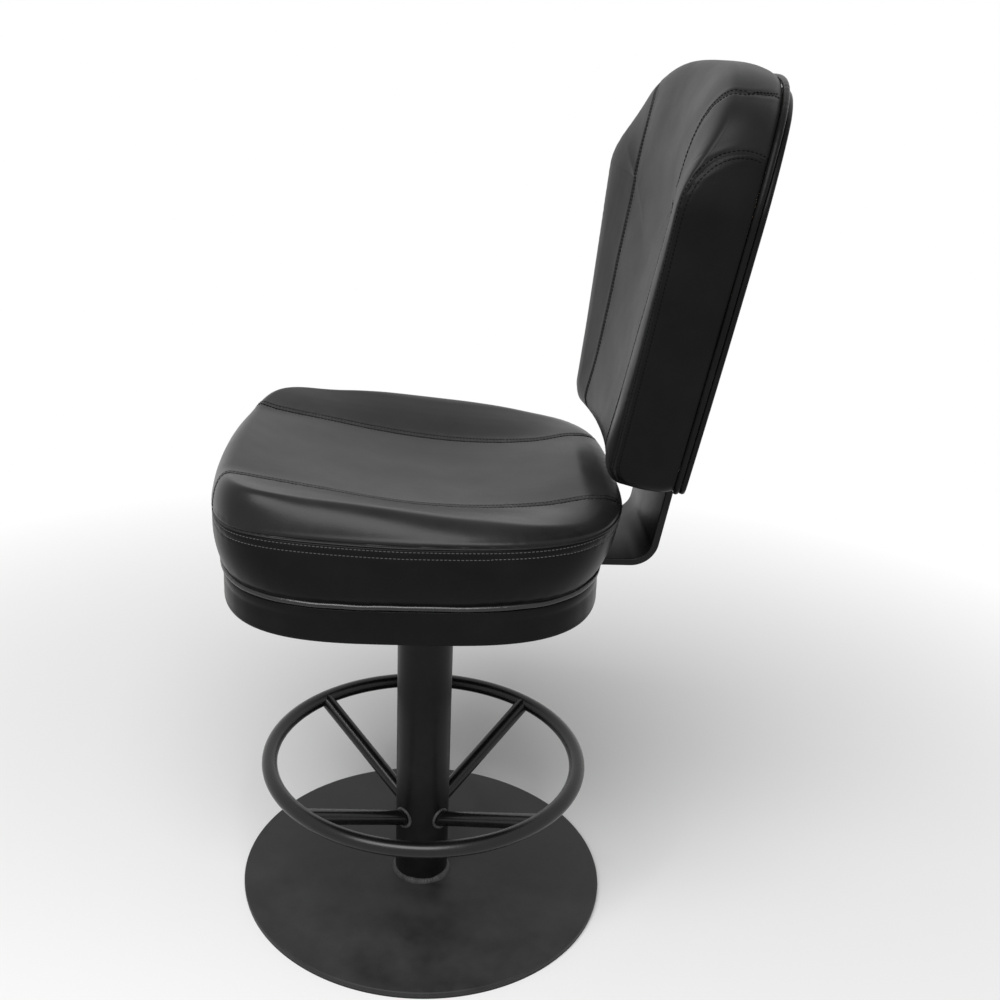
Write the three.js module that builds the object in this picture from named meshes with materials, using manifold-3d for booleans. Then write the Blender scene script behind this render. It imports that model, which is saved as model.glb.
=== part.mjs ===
// Casino stool: a swivelling upholstered seat and back on a round pedestal with a foot ring.
// Millimetres, +Z up, the sitter looks along -Y, and the origin is the middle of the underside on the floor.
import * as THREE from "three";
import { mergeVertices } from "three/addons/utils/BufferGeometryUtils.js";
import Module from "manifold-3d";

const wasm = await Module();
wasm.setup();

// Clearances and cuts
const SEAT_GAP = 0.3;
const CUT_OVERRUN = 20;

// Base disc and its pad
const BASE_RADIUS = 228.6;
const PAD_THICKNESS = 2;
const PAD_INSET = 0.6;
const PLATE_THICKNESS = 7;
const PLATE_EDGE_RADIUS = 1.6;

// Column
const COLUMN_RADIUS = 33.4;
const COLUMN_WALL = 3;
const COLUMN_TOP_HEIGHT = 448;
const FOOT_WELD_LEG = 5.5;
const FOOT_WELD_THROAT = 3.2;

// Foot ring and its four bars
const RING_RADIUS = 191.4;
const RING_HEIGHT = 177.4;
const RING_BAR_RADIUS = 9.5;
const SPOKE_RADIUS = 9.2;
const SPOKE_FOOT_HEIGHT = 99.5;
const SPOKE_COUNT = 4;
const SPOKE_FIRST_ANGLE = Math.PI / 4;
const SPOKE_WELD_LEG = 4;

// Swivel bearing in the column's top
const HOUSING_LENGTH = 70;
const HOUSING_BORE_RADIUS = 17;
const HOUSING_FLANGE = 6;
const BUSH_LENGTH = 15;
const RACE_THICKNESS = 3;
const CAGE_THICKNESS = 6;
const RACE_INNER_RADIUS = 14;
const RACE_OUTER_RADIUS = 30;
const CAGE_INSET = 1;
const SPINDLE_RADIUS = 12.7;
const SPINDLE_THREAD_RADIUS = 10;
const SPINDLE_THREAD_LENGTH = 19;
const SPINDLE_COLLAR_RADIUS = 26;
const SPINDLE_COLLAR_LENGTH = 12.5;
const WASHER_RADIUS = 22;
const WASHER_THICKNESS = 3;
const NUT_THICKNESS = 12;
const NUT_CORNER_RADIUS = 17.3;

// Plate under the seat and its bolts
const SWIVEL_PLATE_SIDE = 200;
const SWIVEL_PLATE_CORNER = 14;
const SWIVEL_PLATE_THICKNESS = 6;
const PLATE_BOLT_PLACE = 80;
const BOLT_RADIUS = 4;
const BOLT_HOLE_RADIUS = 4.5;
const BOLT_HEAD_HEIGHT = 5.3;
const BOLT_HEAD_CORNER_RADIUS = 7.5;
const BOLT_TIP_INSET = 2.5;
const TEE_NUT_FLANGE_RADIUS = 11;
const TEE_NUT_FLANGE = 1.5;
const TEE_NUT_BARREL_RADIUS = 5;
const TEE_NUT_LENGTH = 11.5;

// Seat board, skirt and welt in plan: half width, half depth and the middle's place along Y
const SKIRT_HALF_WIDTH = 223;
const SKIRT_HALF_DEPTH = 208;
const SKIRT_MIDDLE_Y = -17.5;
const SKIRT_SQUARENESS = 3.3;
const SKIRT_HEIGHT = 38.5;
const SKIRT_WALL = 14;
const SKIRT_EDGE_RADIUS = 3;
const COVER_THICKNESS = 1.2;
const COVER_INSET = 9;
const COVER_HOLE_CLEARANCE = 5;
const BOARD_THICKNESS = 15;
const WELT_RADIUS = 3.2;
const WELT_PROUD = 2.5;

// Seat cushion
const CUSHION_FOOT_HALF_WIDTH = 225;
const CUSHION_FOOT_HALF_DEPTH = 209;
const CUSHION_SEAM_HALF_WIDTH = 236;
const CUSHION_SEAM_HALF_DEPTH = 222;
const CUSHION_SEAM_MIDDLE_Y = -13;
const CUSHION_REAR_SQUARENESS = 3.5;
const CUSHION_FRONT_SQUARENESS = 8;
const CUSHION_FRONT_TAPER = 38;
const CUSHION_FRONT_BOW = 24;
const CUSHION_TAPER_POWER = 1.5;
const CUSHION_BOW_POWER = 4;
const CUSHION_SEAM_RISE = 65.5;
const CUSHION_SIDE_BULGE = 5;
const CUSHION_CREST_RISE = 44;
const CUSHION_FALL_START_Y = -143;
const CUSHION_FALL_SLOPE = 0.107;
const CUSHION_BOWL_DEPTH = 37;
const CUSHION_BOWL_MIDDLE_Y = -15;
const CUSHION_BOWL_HALF_LENGTH = 200;
const CUSHION_BOWL_FLAT_HALF_WIDTH = 92;
const CUSHION_BOWL_SLOPE_WIDTH = 100;
const CUSHION_SIDE_CREST_SHARE = 0.82;
const CUSHION_FRONT_CREST_SHARE = 0.88;
const CUSHION_CORNER_CREST_SHARE = 0.93;
const CUSHION_TOP_STEP_SHARES = [0.25, 0.5, 0.75, 1, 1.4, 1.7, 1.92];
const CUSHION_SIDE_STEP_SHARES = [1, 0.75, 0.5, 0.25, 0.08, 0];

// Bent bracket between seat and back
const BRACKET_HALF_WIDTH = 79.5;
const BRACKET_THICKNESS = 8;
const BRACKET_BEND_RADIUS = 22;
const BRACKET_FRONT_Y = 108;
const BRACKET_RISE_IN_BACK = 160;
const SEAT_SCREW_PLACE_X = 50;
const SEAT_SCREW_FIRST_Y = 130;
const SEAT_SCREW_SPACING_Y = 35;
const BACK_SCREW_PLACE_X = 50;
const BACK_SCREW_FIRST_RISE = 70;
const BACK_SCREW_SPACING = 65;
const BACK_SCREW_RADIUS = 3;
const BACK_SCREW_HEAD_RADIUS = 6;
const BACK_SCREW_HEAD_HEIGHT = 3.3;
const BACK_SCREW_GRIP = 8.5;

// Back: a shell bent to a wide radius, leaning back
const BACK_LEAN = THREE.MathUtils.degToRad(9.3);
const BACK_FOOT_Y = 258.6;
const BACK_FOOT_RISE = 27;
const BACK_BEND_RADIUS = 900;
const BACK_SHELL_SETBACK = 0.4;
const BACK_FOOT_HALF_WIDTH = 156;
const BACK_SHOULDER_HALF_WIDTH = 235;
const BACK_SHOULDER_HEIGHT = 326;
const BACK_CROWN = 79;
const BACK_CROWN_SQUARENESS = 3.9;
const BACK_FOOT_CORNER_RADIUS = 18;
const BACK_SHOULDER_CORNER_RADIUS = 40;
const BACK_MIDDLE_RISE = 210;
const BACK_BOARD_THICKNESS = 12;
const BACK_BOARD_INSET = 12;
const BACK_CUSHION_THICKNESS = 76;
const BACK_CUSHION_THINNING = 6;
const BACK_CUSHION_DISH = 5;
const BACK_SIDE_WALL = 64;
const BACK_FOOT_WALL = 52;
const BACK_TOP_WALL = 40;
const BACK_TOP_SWELL = 5;
const BACK_SIDE_SWELL = 2;
const BACK_REAR_TUCK = 3;
const BACK_PANEL_THICKNESS = 5.5;
const BACK_PANEL_EDGE = 2;
const BACK_PANEL_TOP_DROP = 8;
const BACK_CHANNEL_GAP = 0.3;
const BACK_SHEET_RING_SHARES = [0.35, 0.7];
const BACK_INSET_CENTRE_SHARES = [0.5, 1.5];
const BACK_SIDE_CREST_SHARE = 0.84;
const BACK_TOP_CREST_SHARE = 0.55;
const BACK_FOOT_CREST_SHARE = 0.865;
const BACK_FRONT_STEP_SHARES = [0.4, 0.75, 1, 1.3, 1.6, 1.85];
const BACK_SIDE_STEP_SHARES = [1, 0.7, 0.35, 0.12, 0];
const BACK_TUCK_REACH_SHARE = 0.25;

// Pull handle on the outer back
const HANDLE_STRAP_HEIGHT = 32;
const HANDLE_STRAP_THICKNESS = 4;
const HANDLE_LOW_RISE = 328;
const HANDLE_STAND_OFF = 17;
const HANDLE_GRIP_HALF_LENGTH = 52;
const HANDLE_FOOT_INNER_PLACE = 62;
const HANDLE_FOOT_OUTER_PLACE = 94;
const HANDLE_BEND_RADIUS = 8;
const HANDLE_SCREW_PLACE = 80;
const HANDLE_SCREW_SPACING = 16;
const HANDLE_SCREW_RADIUS = 2.5;
const HANDLE_SCREW_HEAD_RADIUS = 4.6;
const HANDLE_SCREW_HEAD_HEIGHT = 2.8;
const HANDLE_SCREW_GRIP = 7;

// Facet counts
const DISC_FACETS = 84;
const PAD_FACETS = 56;
const TUBE_FACETS = 40;
const RING_FACETS = 60;
const BAR_FACETS = 12;
const BEARING_FACETS = 24;
const SMALL_FACETS = 10;
const HEXAGON = 6;
const BEND_FACETS = 6;
const PLAN_FACETS = 48;
const WELT_PATH_FACETS = 72;
const WELT_FACETS = 6;
const CORNER_FACETS = 6;
const EDGE_FACETS = 6;

// Levels of the base and of the bearing, from the floor up
const plateBottom = PAD_THICKNESS;
const plateTop = plateBottom + PLATE_THICKNESS;
const housingBottom = COLUMN_TOP_HEIGHT - HOUSING_LENGTH;
const housingTop = COLUMN_TOP_HEIGHT + HOUSING_FLANGE;
const lowerRaceTop = housingTop + RACE_THICKNESS;
const cageTop = lowerRaceTop + CAGE_THICKNESS - SEAT_GAP;
const upperRaceBottom = lowerRaceTop + CAGE_THICKNESS;
const upperRaceTop = upperRaceBottom + RACE_THICKNESS;
const swivelPlateBottom = upperRaceTop + SPINDLE_COLLAR_LENGTH;
const boardBottom = swivelPlateBottom + SWIVEL_PLATE_THICKNESS;
const boardTop = boardBottom + BOARD_THICKNESS;
const washerTop = housingBottom - SEAT_GAP;
const nutTop = washerTop - WASHER_THICKNESS;
const skirtBottom = boardBottom - SKIRT_HEIGHT;
const weltMiddle = boardBottom + SEAT_GAP + WELT_RADIUS;
const cushionBottom = weltMiddle + WELT_RADIUS + SEAT_GAP;
const cushionSeam = cushionBottom + CUSHION_SEAM_RISE;
const cushionCrest = cushionSeam + CUSHION_CREST_RISE;
const backFoot = cushionSeam + BACK_FOOT_RISE;

// Materials of the real stool
const blackVinyl = new THREE.MeshStandardMaterial({ color: 0x232324, roughness: 0.42, metalness: 0 });
const blackPiping = new THREE.MeshStandardMaterial({ color: 0x1c1c1d, roughness: 0.38, metalness: 0 });
const powderCoat = new THREE.MeshStandardMaterial({ color: 0x222223, roughness: 0.5, metalness: 0.1 });
const weldCoat = new THREE.MeshStandardMaterial({ color: 0x4a4a4b, roughness: 0.6, metalness: 0.2 });
const barSteel = new THREE.MeshStandardMaterial({ color: 0x9a9c9f, roughness: 0.35, metalness: 0.9 });
const zincSteel = new THREE.MeshStandardMaterial({ color: 0xb4b6b2, roughness: 0.4, metalness: 0.9 });
const bushNylon = new THREE.MeshStandardMaterial({ color: 0xd9d5c8, roughness: 0.5, metalness: 0 });
const plywood = new THREE.MeshStandardMaterial({ color: 0xb98f5e, roughness: 0.7, metalness: 0 });
const padRubber = new THREE.MeshStandardMaterial({ color: 0x161616, roughness: 0.85, metalness: 0 });
const coverFabric = new THREE.MeshStandardMaterial({ color: 0x1a1a1a, roughness: 0.95, metalness: 0 });

// Merges shared corners and drops the facets that fall together, as at a turned shape's axis.
function closedBody(geometry) {
  const bare = new THREE.BufferGeometry();
  bare.setAttribute("position", geometry.getAttribute("position").clone());
  if (geometry.index) {
    bare.setIndex(geometry.index.clone());
  }
  const merged = mergeVertices(bare);
  const kept = [];
  const index = merged.index.array;
  for (let i = 0; i < index.length; i += 3) {
    const [a, b, c] = [index[i], index[i + 1], index[i + 2]];
    if (a !== b && b !== c && c !== a) {
      kept.push(a, b, c);
    }
  }
  merged.setIndex(kept);
  return merged;
}

function toSolid(geometry) {
  const body = closedBody(geometry);
  const vertProperties = new Float32Array(body.getAttribute("position").array);
  const triVerts = new Uint32Array(body.index.array);
  return new wasm.Manifold(new wasm.Mesh({ numProp: 3, vertProperties, triVerts }));
}

function toGeometry(solid) {
  const mesh = solid.getMesh();
  const geometry = new THREE.BufferGeometry();
  geometry.setAttribute("position", new THREE.BufferAttribute(mesh.vertProperties, 3));
  geometry.setIndex(new THREE.BufferAttribute(mesh.triVerts, 1));
  return geometry;
}

// Cuts every tool geometry out of a body.
function cut(geometry, tools) {
  let solid = toSolid(geometry);
  for (const tool of tools) {
    solid = solid.subtract(toSolid(tool));
  }
  return toGeometry(solid);
}

// Turns the facets round where the body's signed volume is negative.
function facingOut(geometry) {
  const place = geometry.getAttribute("position");
  const index = geometry.index.array;
  const [a, b, c] = [new THREE.Vector3(), new THREE.Vector3(), new THREE.Vector3()];
  let volume = 0;
  for (let i = 0; i < index.length; i += 3) {
    a.fromBufferAttribute(place, index[i]);
    b.fromBufferAttribute(place, index[i + 1]);
    c.fromBufferAttribute(place, index[i + 2]);
    volume += a.dot(b.cross(c));
  }
  if (volume < 0) {
    const turned = [];
    for (let i = 0; i < index.length; i += 3) {
      turned.push(index[i], index[i + 2], index[i + 1]);
    }
    geometry.setIndex(turned);
  }
  return geometry;
}

function girth(ring) {
  return ring.reduce((sum, point, i) => sum + point.distanceTo(ring[(i + 1) % ring.length]), 0);
}

// A skin over rings of as many points each. It ends in two poles, or closes on itself without them.
// Each facet's diagonal runs from the smaller ring to the next point of the larger, so that skins that lie
// on each other, one grown outwards and one inwards, have the same facets.
function skin(rings, poles) {
  const count = rings[0].length;
  const points = rings.flat();
  const index = [];
  const strips = poles ? rings.length - 1 : rings.length;
  for (let r = 0; r < strips; r += 1) {
    const next = (r + 1) % rings.length;
    const low = r * count;
    const high = next * count;
    const grows = girth(rings[next]) >= girth(rings[r]);
    for (let i = 0; i < count; i += 1) {
      const j = (i + 1) % count;
      if (grows) {
        index.push(low + i, low + j, high + j, low + i, high + j, high + i);
      } else {
        index.push(low + i, low + j, high + i, low + j, high + j, high + i);
      }
    }
  }
  if (poles) {
    const first = points.length;
    const last = first + 1;
    const top = (rings.length - 1) * count;
    points.push(poles[0], poles[1]);
    for (let i = 0; i < count; i += 1) {
      const j = (i + 1) % count;
      index.push(first, j, i, last, top + i, top + j);
    }
  }
  const geometry = new THREE.BufferGeometry().setFromPoints(points);
  geometry.setIndex(index);
  return facingOut(geometry);
}

// A solid turned round the Z axis from a closed profile of [radius, height] points.
function turned(profile, facets) {
  const points = [...profile, profile[0]].map(([radius, height]) => new THREE.Vector2(radius, height));
  const lathe = new THREE.LatheGeometry(points, facets);
  lathe.rotateX(Math.PI / 2);
  return facingOut(closedBody(lathe));
}

function ringBody(innerRadius, outerRadius, bottom, top, facets) {
  const profile = [[innerRadius, bottom], [outerRadius, bottom], [outerRadius, top], [innerRadius, top]];
  return turned(profile, facets);
}

// A rod between two points.
function rod(from, to, radius, facets) {
  const along = to.clone().sub(from);
  const geometry = new THREE.CylinderGeometry(radius, radius, along.length(), facets);
  const turn = new THREE.Quaternion().setFromUnitVectors(new THREE.Vector3(0, 1, 0), along.normalize());
  geometry.applyQuaternion(turn);
  const middle = from.clone().add(to).multiplyScalar(0.5);
  geometry.translate(middle.x, middle.y, middle.z);
  return geometry;
}

// A flat outline of [x, y] points made a plate between two heights.
function plate(outline, bottom, top, holes = []) {
  const shape = new THREE.Shape(outline.map(([x, y]) => new THREE.Vector2(x, y)));
  for (const hole of holes) {
    shape.holes.push(new THREE.Path(hole.map(([x, y]) => new THREE.Vector2(x, y))));
  }
  const geometry = new THREE.ExtrudeGeometry(shape, { depth: top - bottom, bevelEnabled: false });
  geometry.translate(0, 0, bottom);
  return geometry;
}

// A profile of [y, z] points carried along X, half of the width to each side.
function carriedAlongX(profile, halfWidth) {
  const geometry = plate(profile, -halfWidth, halfWidth);
  const turn = new THREE.Matrix4().set(0, 0, 1, 0, 1, 0, 0, 0, 0, 1, 0, 0, 0, 0, 0, 1);
  return geometry.applyMatrix4(turn);
}

function circle(radius, facets, x = 0, y = 0) {
  const steps = Array.from({ length: facets }, (_, i) => (i / facets) * 2 * Math.PI);
  return steps.map((angle) => [x + radius * Math.cos(angle), y + radius * Math.sin(angle)]);
}

// A superellipse: squareness 2 is an ellipse, and more is squarer.
function superellipse(halfWidth, halfDepth, middleY, squareness, facets) {
  return circle(1, facets).map(([c, s]) => {
    const reach = (Math.abs(c) ** squareness + Math.abs(s) ** squareness) ** (-1 / squareness);
    return [halfWidth * c * reach, middleY + halfDepth * s * reach];
  });
}

// Rounds each corner of a closed polygon with an arc of its own radius.
function roundedPolygon(corners, radii, facets) {
  const count = corners.length;
  return corners.flatMap((corner, i) => {
    const here = new THREE.Vector2(...corner);
    const back = new THREE.Vector2(...corners[(i + count - 1) % count]).sub(here).normalize();
    const ahead = new THREE.Vector2(...corners[(i + 1) % count]).sub(here).normalize();
    const half = back.angleTo(ahead) / 2;
    const reach = radii[i] / Math.tan(half);
    const bisector = back.clone().add(ahead).normalize();
    const middle = here.clone().addScaledVector(bisector, radii[i] / Math.sin(half));
    const start = here.clone().addScaledVector(back, reach).sub(middle);
    const turn = here.clone().addScaledVector(ahead, reach).sub(middle);
    const sweep = Math.atan2(start.cross(turn), start.dot(turn));
    return Array.from({ length: facets + 1 }, (_, k) => {
      const spot = start.clone().rotateAround(new THREE.Vector2(), (sweep * k) / facets).add(middle);
      return [spot.x, spot.y];
    });
  });
}

function smoothstep(low, high, value) {
  return THREE.MathUtils.smoothstep(value, low, high);
}

// A round cord laid along a closed path, its section square to the path and to the side direction given.
function closedCord(path, radius, upAt) {
  const count = path.length;
  const rings = path.map((point, i) => {
    const along = path[(i + 1) % count].clone().sub(path[(i + count - 1) % count]).normalize();
    const up = upAt(point);
    const out = along.clone().cross(up).normalize();
    return circle(radius, WELT_FACETS).map(([a, b]) =>
      point.clone().addScaledVector(out, a).addScaledVector(up, b));
  });
  return skin(rings, null);
}

const parts = new THREE.Group();

function addPiece(parent, name, geometry, material) {
  const shaded = geometry.index ? geometry.toNonIndexed() : geometry;
  shaded.computeVertexNormals();
  const mesh = new THREE.Mesh(shaded, material);
  mesh.name = name;
  parent.add(mesh);
  return mesh;
}

// Base: pad, plate, column and the bead round its foot
function buildBase(parent) {
  const padRadius = BASE_RADIUS - PAD_INSET;
  addPiece(parent, "floor_pad", plate(circle(padRadius, PAD_FACETS), 0, PAD_THICKNESS), padRubber);

  const edge = PLATE_EDGE_RADIUS;
  const plateProfile = [
    [0, plateBottom],
    [BASE_RADIUS - edge, plateBottom],
    [BASE_RADIUS, plateBottom + edge],
    [BASE_RADIUS, plateTop - edge],
    [BASE_RADIUS - edge, plateTop],
    [0, plateTop],
  ];
  addPiece(parent, "base_plate", turned(plateProfile, DISC_FACETS), powderCoat);

  const columnInner = COLUMN_RADIUS - COLUMN_WALL;
  const tube = ringBody(columnInner, COLUMN_RADIUS, plateTop, COLUMN_TOP_HEIGHT, TUBE_FACETS);
  addPiece(parent, "column_tube", tube, powderCoat);

  const weldInner = COLUMN_RADIUS + SEAT_GAP;
  const weldProfile = [
    [weldInner, plateTop],
    [weldInner + FOOT_WELD_LEG, plateTop],
    [weldInner + FOOT_WELD_THROAT, plateTop + FOOT_WELD_THROAT],
    [weldInner, plateTop + FOOT_WELD_LEG],
  ];
  addPiece(parent, "foot_weld", turned(weldProfile, TUBE_FACETS), weldCoat);
}

// Foot ring: one ring, four bars that rise outwards from the column, and a bead round each bar's foot
function buildFootRing(parent) {
  const ring = new THREE.TorusGeometry(RING_RADIUS, RING_BAR_RADIUS, BAR_FACETS, RING_FACETS);
  ring.translate(0, 0, RING_HEIGHT);
  addPiece(parent, "foot_ring", closedBody(ring), powderCoat);

  const ringRoom = new THREE.TorusGeometry(RING_RADIUS, RING_BAR_RADIUS + SEAT_GAP, BAR_FACETS, RING_FACETS);
  ringRoom.translate(0, 0, RING_HEIGHT);
  const columnRoom = columnRoomOf(COLUMN_RADIUS + SEAT_GAP);
  const weldReach = columnRoomOf(COLUMN_RADIUS + SPOKE_WELD_LEG);
  const slope = Math.atan2(RING_HEIGHT - SPOKE_FOOT_HEIGHT, RING_RADIUS - COLUMN_RADIUS);

  for (let i = 0; i < SPOKE_COUNT; i += 1) {
    const angle = SPOKE_FIRST_ANGLE + (i / SPOKE_COUNT) * 2 * Math.PI;
    const outwards = new THREE.Vector3(Math.cos(angle), Math.sin(angle), 0);
    const at = (radius) => outwards
      .clone()
      .multiplyScalar(radius)
      .setZ(SPOKE_FOOT_HEIGHT + (radius - COLUMN_RADIUS) * Math.tan(slope));
    const inner = at(COLUMN_RADIUS - SPOKE_RADIUS);
    const bar = rod(inner, at(RING_RADIUS), SPOKE_RADIUS, BAR_FACETS);
    addPiece(parent, `spoke_${i + 1}`, cut(bar, [ringRoom, columnRoom]), powderCoat);

    const reach = at(COLUMN_RADIUS + SPOKE_WELD_LEG + CUT_OVERRUN);
    const bead = toSolid(rod(inner, reach, SPOKE_RADIUS + SPOKE_WELD_LEG, BAR_FACETS));
    const past = at(COLUMN_RADIUS + SPOKE_WELD_LEG + 2 * CUT_OVERRUN);
    const barRoom = rod(at(0), past, SPOKE_RADIUS + SEAT_GAP, BAR_FACETS);
    const collar = bead
      .intersect(toSolid(weldReach))
      .subtract(toSolid(barRoom))
      .subtract(toSolid(columnRoom));
    addPiece(parent, `spoke_weld_${i + 1}`, toGeometry(collar), weldCoat);
  }
}

// A cylinder over the column's whole height, for cuts along its wall.
function columnRoomOf(radius) {
  return turned([[0, 0], [radius, 0], [radius, COLUMN_TOP_HEIGHT], [0, COLUMN_TOP_HEIGHT]], TUBE_FACETS);
}

// Swivel, fixed half: housing in the column's mouth, two bushes, lower race and cage
function buildFixedBearing(parent) {
  const sleeveRadius = COLUMN_RADIUS - COLUMN_WALL - SEAT_GAP;
  const housingProfile = [
    [HOUSING_BORE_RADIUS, housingBottom],
    [sleeveRadius, housingBottom],
    [sleeveRadius, COLUMN_TOP_HEIGHT],
    [COLUMN_RADIUS, COLUMN_TOP_HEIGHT],
    [COLUMN_RADIUS, housingTop],
    [HOUSING_BORE_RADIUS, housingTop],
  ];
  addPiece(parent, "bearing_housing", turned(housingProfile, BEARING_FACETS), barSteel);

  const bushInner = SPINDLE_RADIUS + SEAT_GAP;
  const bushOuter = HOUSING_BORE_RADIUS - SEAT_GAP;
  const bushes = [["lower_bush", housingBottom], ["upper_bush", housingTop - BUSH_LENGTH]];
  for (const [name, bottom] of bushes) {
    const bush = ringBody(bushInner, bushOuter, bottom, bottom + BUSH_LENGTH, BEARING_FACETS);
    addPiece(parent, name, bush, bushNylon);
  }

  const race = ringBody(RACE_INNER_RADIUS, RACE_OUTER_RADIUS, housingTop, lowerRaceTop, BEARING_FACETS);
  addPiece(parent, "lower_race", race, barSteel);
  const cageInner = RACE_INNER_RADIUS + CAGE_INSET;
  const cageOuter = RACE_OUTER_RADIUS - CAGE_INSET;
  const cage = ringBody(cageInner, cageOuter, lowerRaceTop, cageTop, BEARING_FACETS);
  addPiece(parent, "bearing_cage", cage, bushNylon);
}

// Swivel, turning half: spindle with its collar, upper race, washer and nut
function buildSpindle(parent) {
  const race = ringBody(RACE_INNER_RADIUS, RACE_OUTER_RADIUS, upperRaceBottom, upperRaceTop, BEARING_FACETS);
  addPiece(parent, "upper_race", race, barSteel);

  const spindleProfile = [
    [0, washerTop - SPINDLE_THREAD_LENGTH],
    [SPINDLE_THREAD_RADIUS, washerTop - SPINDLE_THREAD_LENGTH],
    [SPINDLE_THREAD_RADIUS, washerTop],
    [SPINDLE_RADIUS, washerTop],
    [SPINDLE_RADIUS, swivelPlateBottom],
    [0, swivelPlateBottom],
  ];
  addPiece(parent, "spindle", turned(spindleProfile, BEARING_FACETS), barSteel);

  const collarInner = SPINDLE_RADIUS + SEAT_GAP;
  const collarOuter = SPINDLE_COLLAR_RADIUS;
  const collar = ringBody(collarInner, collarOuter, upperRaceTop, swivelPlateBottom, BEARING_FACETS);
  addPiece(parent, "spindle_weld", collar, barSteel);

  const threadRoom = SPINDLE_THREAD_RADIUS + SEAT_GAP;
  const washer = ringBody(threadRoom, WASHER_RADIUS, nutTop, washerTop, BEARING_FACETS);
  addPiece(parent, "spindle_washer", washer, zincSteel);
  const nutHole = circle(threadRoom, BEARING_FACETS);
  const nut = plate(circle(NUT_CORNER_RADIUS, HEXAGON), nutTop - NUT_THICKNESS, nutTop, [nutHole]);
  addPiece(parent, "spindle_nut", nut, zincSteel);
}

// Bolt places on the seat board: four in the swivel plate and four in the bracket
function platePlaces() {
  const p = PLATE_BOLT_PLACE;
  return [[p, -p], [p, p], [-p, p], [-p, -p]];
}

function bracketPlaces() {
  const x = SEAT_SCREW_PLACE_X;
  const near = SEAT_SCREW_FIRST_Y;
  const far = SEAT_SCREW_FIRST_Y + SEAT_SCREW_SPACING_Y;
  return [[x, near], [x, far], [-x, far], [-x, near]];
}

// A hexagon bolt that comes up through a plate of its own thickness into the seat board.
function seatBolt(x, y, plateThickness) {
  const under = boardBottom - plateThickness;
  const tip = boardTop - BOLT_TIP_INSET;
  const head = plate(circle(BOLT_HEAD_CORNER_RADIUS, HEXAGON, x, y), under - BOLT_HEAD_HEIGHT, under);
  const shank = plate(circle(BOLT_RADIUS, SMALL_FACETS, x, y), under - BOLT_HEAD_HEIGHT, tip);
  return toGeometry(toSolid(head).add(toSolid(shank)));
}

function teeNut(x, y) {
  const top = boardTop - SEAT_GAP;
  const inner = BOLT_RADIUS + SEAT_GAP;
  const profile = [
    [inner, top - TEE_NUT_LENGTH],
    [TEE_NUT_BARREL_RADIUS, top - TEE_NUT_LENGTH],
    [TEE_NUT_BARREL_RADIUS, top - TEE_NUT_FLANGE],
    [TEE_NUT_FLANGE_RADIUS, top - TEE_NUT_FLANGE],
    [TEE_NUT_FLANGE_RADIUS, top],
    [inner, top],
  ];
  return turned(profile, SMALL_FACETS).translate(x, y, 0);
}

function teeNutRoom(x, y) {
  const flangeFloor = boardTop - SEAT_GAP - TEE_NUT_FLANGE;
  const sink = TEE_NUT_FLANGE_RADIUS + SEAT_GAP;
  const barrel = TEE_NUT_BARREL_RADIUS + SEAT_GAP;
  return turned([
    [0, boardBottom - CUT_OVERRUN],
    [barrel, boardBottom - CUT_OVERRUN],
    [barrel, flangeFloor],
    [sink, flangeFloor],
    [sink, boardTop + CUT_OVERRUN],
    [0, boardTop + CUT_OVERRUN],
  ], SMALL_FACETS).translate(x, y, 0);
}

function boltHoles(places, bottom, top) {
  return places.map(([x, y]) =>
    plate(circle(BOLT_HOLE_RADIUS, SMALL_FACETS, x, y), bottom - CUT_OVERRUN, top + CUT_OVERRUN));
}

// The skirt's outline in plan, drawn in by a width.
function skirtOutline(inset, facets) {
  const width = SKIRT_HALF_WIDTH - inset;
  const depth = SKIRT_HALF_DEPTH - inset;
  return superellipse(width, depth, SKIRT_MIDDLE_Y, SKIRT_SQUARENESS, facets);
}

// The plan outline of the board, which lies inside the welt.
function boardOutline(extra) {
  return skirtOutline(2 * WELT_RADIUS - WELT_PROUD + SEAT_GAP - extra, PLAN_FACETS);
}

function buildSeatStructure(parent) {
  const side = SWIVEL_PLATE_SIDE / 2;
  const square = [[-side, -side], [side, -side], [side, side], [-side, side]];
  const corners = square.map(() => SWIVEL_PLATE_CORNER);
  const outline = roundedPolygon(square, corners, BEND_FACETS);
  const flat = plate(outline, swivelPlateBottom, boardBottom);
  const drilled = cut(flat, boltHoles(platePlaces(), swivelPlateBottom, boardBottom));
  addPiece(parent, "swivel_plate", drilled, powderCoat);

  const board = plate(boardOutline(0), boardBottom, boardTop);
  const rooms = [...platePlaces(), ...bracketPlaces()].map(([x, y]) => teeNutRoom(x, y));
  addPiece(parent, "seat_board", cut(board, rooms), plywood);

  platePlaces().forEach(([x, y], i) => {
    addPiece(parent, `plate_bolt_${i + 1}`, seatBolt(x, y, SWIVEL_PLATE_THICKNESS), zincSteel);
    addPiece(parent, `plate_nut_${i + 1}`, teeNut(x, y), zincSteel);
  });
  bracketPlaces().forEach(([x, y], i) => {
    addPiece(parent, `seat_screw_${i + 1}`, seatBolt(x, y, BRACKET_THICKNESS), zincSteel);
    addPiece(parent, `seat_nut_${i + 1}`, teeNut(x, y), zincSteel);
  });
}

// Height of the seat's top before its edge rolls over: level at the front, falling to the rear, with a bowl
// between the two side rolls.
function seatTop(x, y) {
  const fall = CUSHION_FALL_SLOPE * Math.max(0, y - CUSHION_FALL_START_Y);
  const along = (y - CUSHION_BOWL_MIDDLE_Y) / CUSHION_BOWL_HALF_LENGTH;
  const across = smoothstep(0, CUSHION_BOWL_SLOPE_WIDTH, Math.abs(x) - CUSHION_BOWL_FLAT_HALF_WIDTH);
  const bowl = CUSHION_BOWL_DEPTH * Math.max(0, 1 - along * along) * (1 - across);
  return cushionCrest - fall - bowl;
}

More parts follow.
